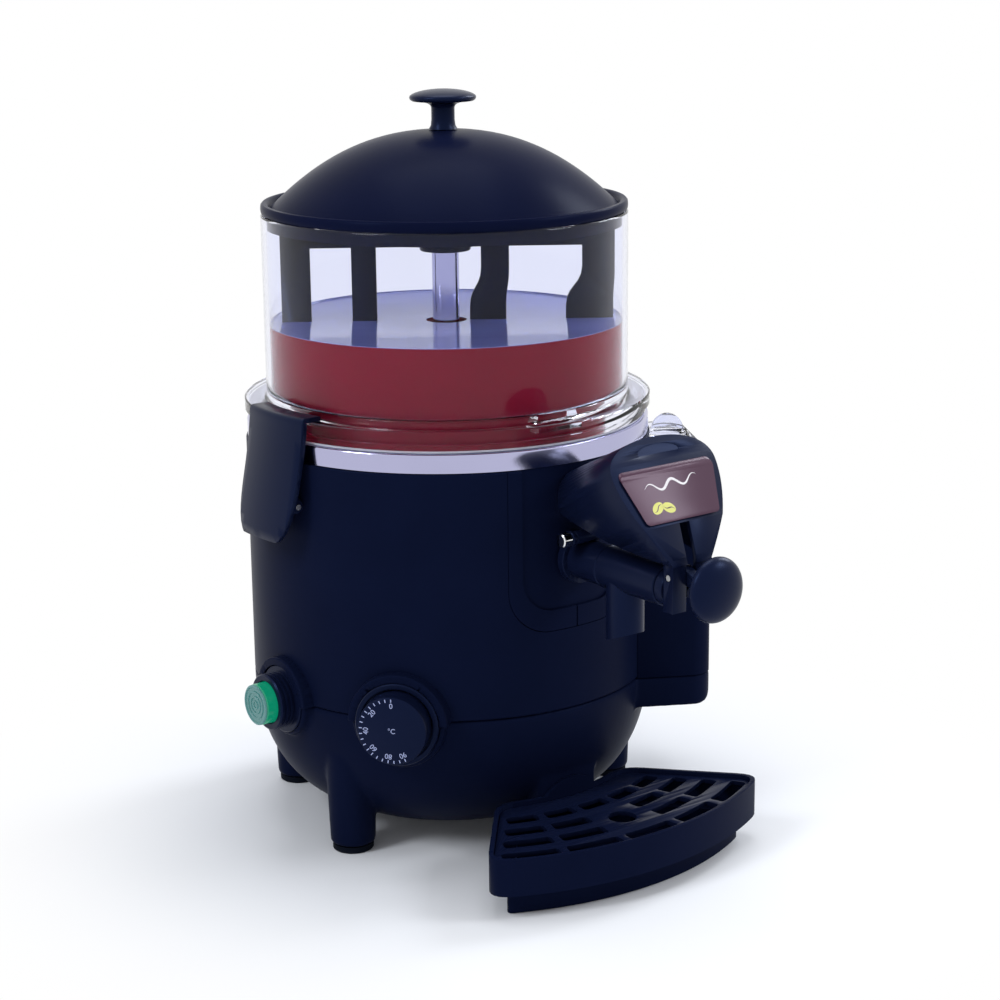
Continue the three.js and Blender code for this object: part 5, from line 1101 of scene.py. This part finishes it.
def tray_plan(inset, steps=20):
    """Two arcs and two sides that splay, drawn in all round, with rounded corners."""
    inner, outer, corner = TRAY_INNER + inset, TRAY_OUTER - inset, max(TRAY_CORNER - inset, 1)

    def edge(ring):
        return polar(ring, side_angle(ring, inset))

    def on_arc(ring):
        return side_angle(ring, inset) - degrees(corner / ring)

    half = [polar(outer, on_arc(outer) * i / steps) for i in range(steps + 1)]
    half += bend(half[-1], edge(outer), edge(outer - corner)) + [edge(outer - corner), edge(inner + corner)]
    half += bend(edge(inner + corner), edge(inner), polar(inner, on_arc(inner)))
    half += [polar(inner, on_arc(inner) * (1 - i / steps)) for i in range(steps + 1)]
    return half + [(-x, y) for x, y in reversed(half[1:-1])]


def make_tray():
    tray = raised("tray_look", [tray_plan(0)], TRAY_BAND, TRAY_TOP)
    union(tray, raised("lower", [tray_plan(TRAY_STEP)], 0.6, TRAY_BAND + GAP))
    cut(tray, raised("shelf", [tray_plan(TRAY_WALL)], 31.6, TRAY_TOP + 2),
        raised("wide", [tray_plan(5)], 17.4, 31.9),
        raised("deep", [tray_plan(TRAY_STEP + TRAY_WALL)], 3, 17.7))
    outer = TRAY_INNER + TRAY_WALL
    tab = lathe("tab", [(TRAY_INNER, TRAY_BAND), (outer, TRAY_BAND), (outer, 60), (TRAY_INNER, 60)])
    union(tray, common(tab, fronted("tab_round", [circle(0, 21, 25, MIDDLE)], 100, 150)))
    round_normals(dress(tray, SHELL, "tray", "drip_tray", 0.7, 40, 3))


SLOT_HALF, SLOT_CORNER, SLOT_RIB = 4.8, 2.4, 4.8
ROWS, ROW_START, ROW_PITCH, SLOTS = 4, 138.7, 17.2, 5
GRILLE_INSET, GRILLE_EDGE = 3.2, 4.2


def slot_loop(ring, start, end):
    """A slot along an arc, with rounded corners."""
    turn = degrees(SLOT_CORNER / ring)
    inner, outer = ring - SLOT_HALF, ring + SLOT_HALF
    low, high = inner + SLOT_CORNER, outer - SLOT_CORNER
    loop = arc(outer, start + turn, end - turn, 5)
    loop += bend(loop[-1], polar(outer, end), polar(high, end), 4) + [polar(high, end), polar(low, end)]
    loop += bend(loop[-1], polar(inner, end), polar(inner, end - turn), 4)
    loop += arc(inner, end - turn, start + turn, 5)
    loop += bend(loop[-1], polar(inner, start), polar(low, start), 4)
    loop += [polar(low, start), polar(high, start)]
    return loop + bend(loop[-1], polar(outer, start), loop[0], 4)


def make_grille():
    """Four rows of five slots. The two rows beside the drain hole leave out their middle slot."""
    low, high = height_of("drip_grille")
    holes = [circle(0, -164.5, 8.5, 48)]
    for row in range(ROWS):
        ring = ROW_START + ROW_PITCH * row
        limit, rib = side_angle(ring, GRILLE_INSET + GRILLE_EDGE), degrees(SLOT_RIB / ring)
        step = (2 * limit + rib) / SLOTS
        holes += [slot_loop(ring, -limit + i * step, -limit + (i + 1) * step - rib)
                  for i in range(SLOTS) if i != SLOTS // 2 or row in (0, ROWS - 1)]
    plate = raised("grille_look", [tray_plan(GRILLE_INSET)] + holes, low, high)
    dress_trim(plate, "drip_grille", "grille", 0.8, 40, 3)


def make_feet():
    for i, angle in enumerate(LEG_ANGLES):
        pad = [(0, 0), (11.6, 0), (12.3, 0.7), (12.3, 4), (5, 4), (5, 10), (0, 10)]
        dress(lathe("foot_look_%d" % (i + 1), pad, 0, MIDDLE, polar(LEG_RING, angle)), RUBBER,
              stands_for="foot_pad_%d" % (i + 1), edge=0)


def dress_the_rest():
    """The hidden nodes keep their own shapes and get their finish."""
    finishes = {"bottom_plate": ZINC, "outlet_seal": RUBBER, "heating_ring": ZINC, "safety_cutout": ZINC,
                "gear_motor": ZINC, "motor_bracket": ZINC, "terminal_block": WHITE, "thermostat": ZINC,
                "power_switch": WHITE, "drive_shaft": STEEL, "tap_piston": GLOSS, "piston_ring": RUBBER,
                "tap_spring": STEEL, "lever_pin": ZINC, "latch_pin_left": CHROME, "latch_pin_right": CHROME,
                "bottom_screw_1": ZINC, "bottom_screw_2": ZINC, "bottom_screw_3": ZINC}
    for node, material in finishes.items():
        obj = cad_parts[node]
        obj.data.materials.clear()
        obj.data.materials.append(material)


make_camera()
make_world()
make_floor()
make_lights()
make_base()
make_body()
make_panel()
make_tank()
make_bowl()
make_drink()
make_column()
make_lid()
make_dial()
make_power()
make_gland()
make_barrel()
make_pin()
make_cover()
make_label()
make_lever()
make_latches()
make_pod()
make_vessel()
make_tray()
make_grille()
make_feet()
dress_the_rest()

scene = bpy.context.scene
scene.view_settings.view_transform = "Standard"

bpy.context.view_layer.update()
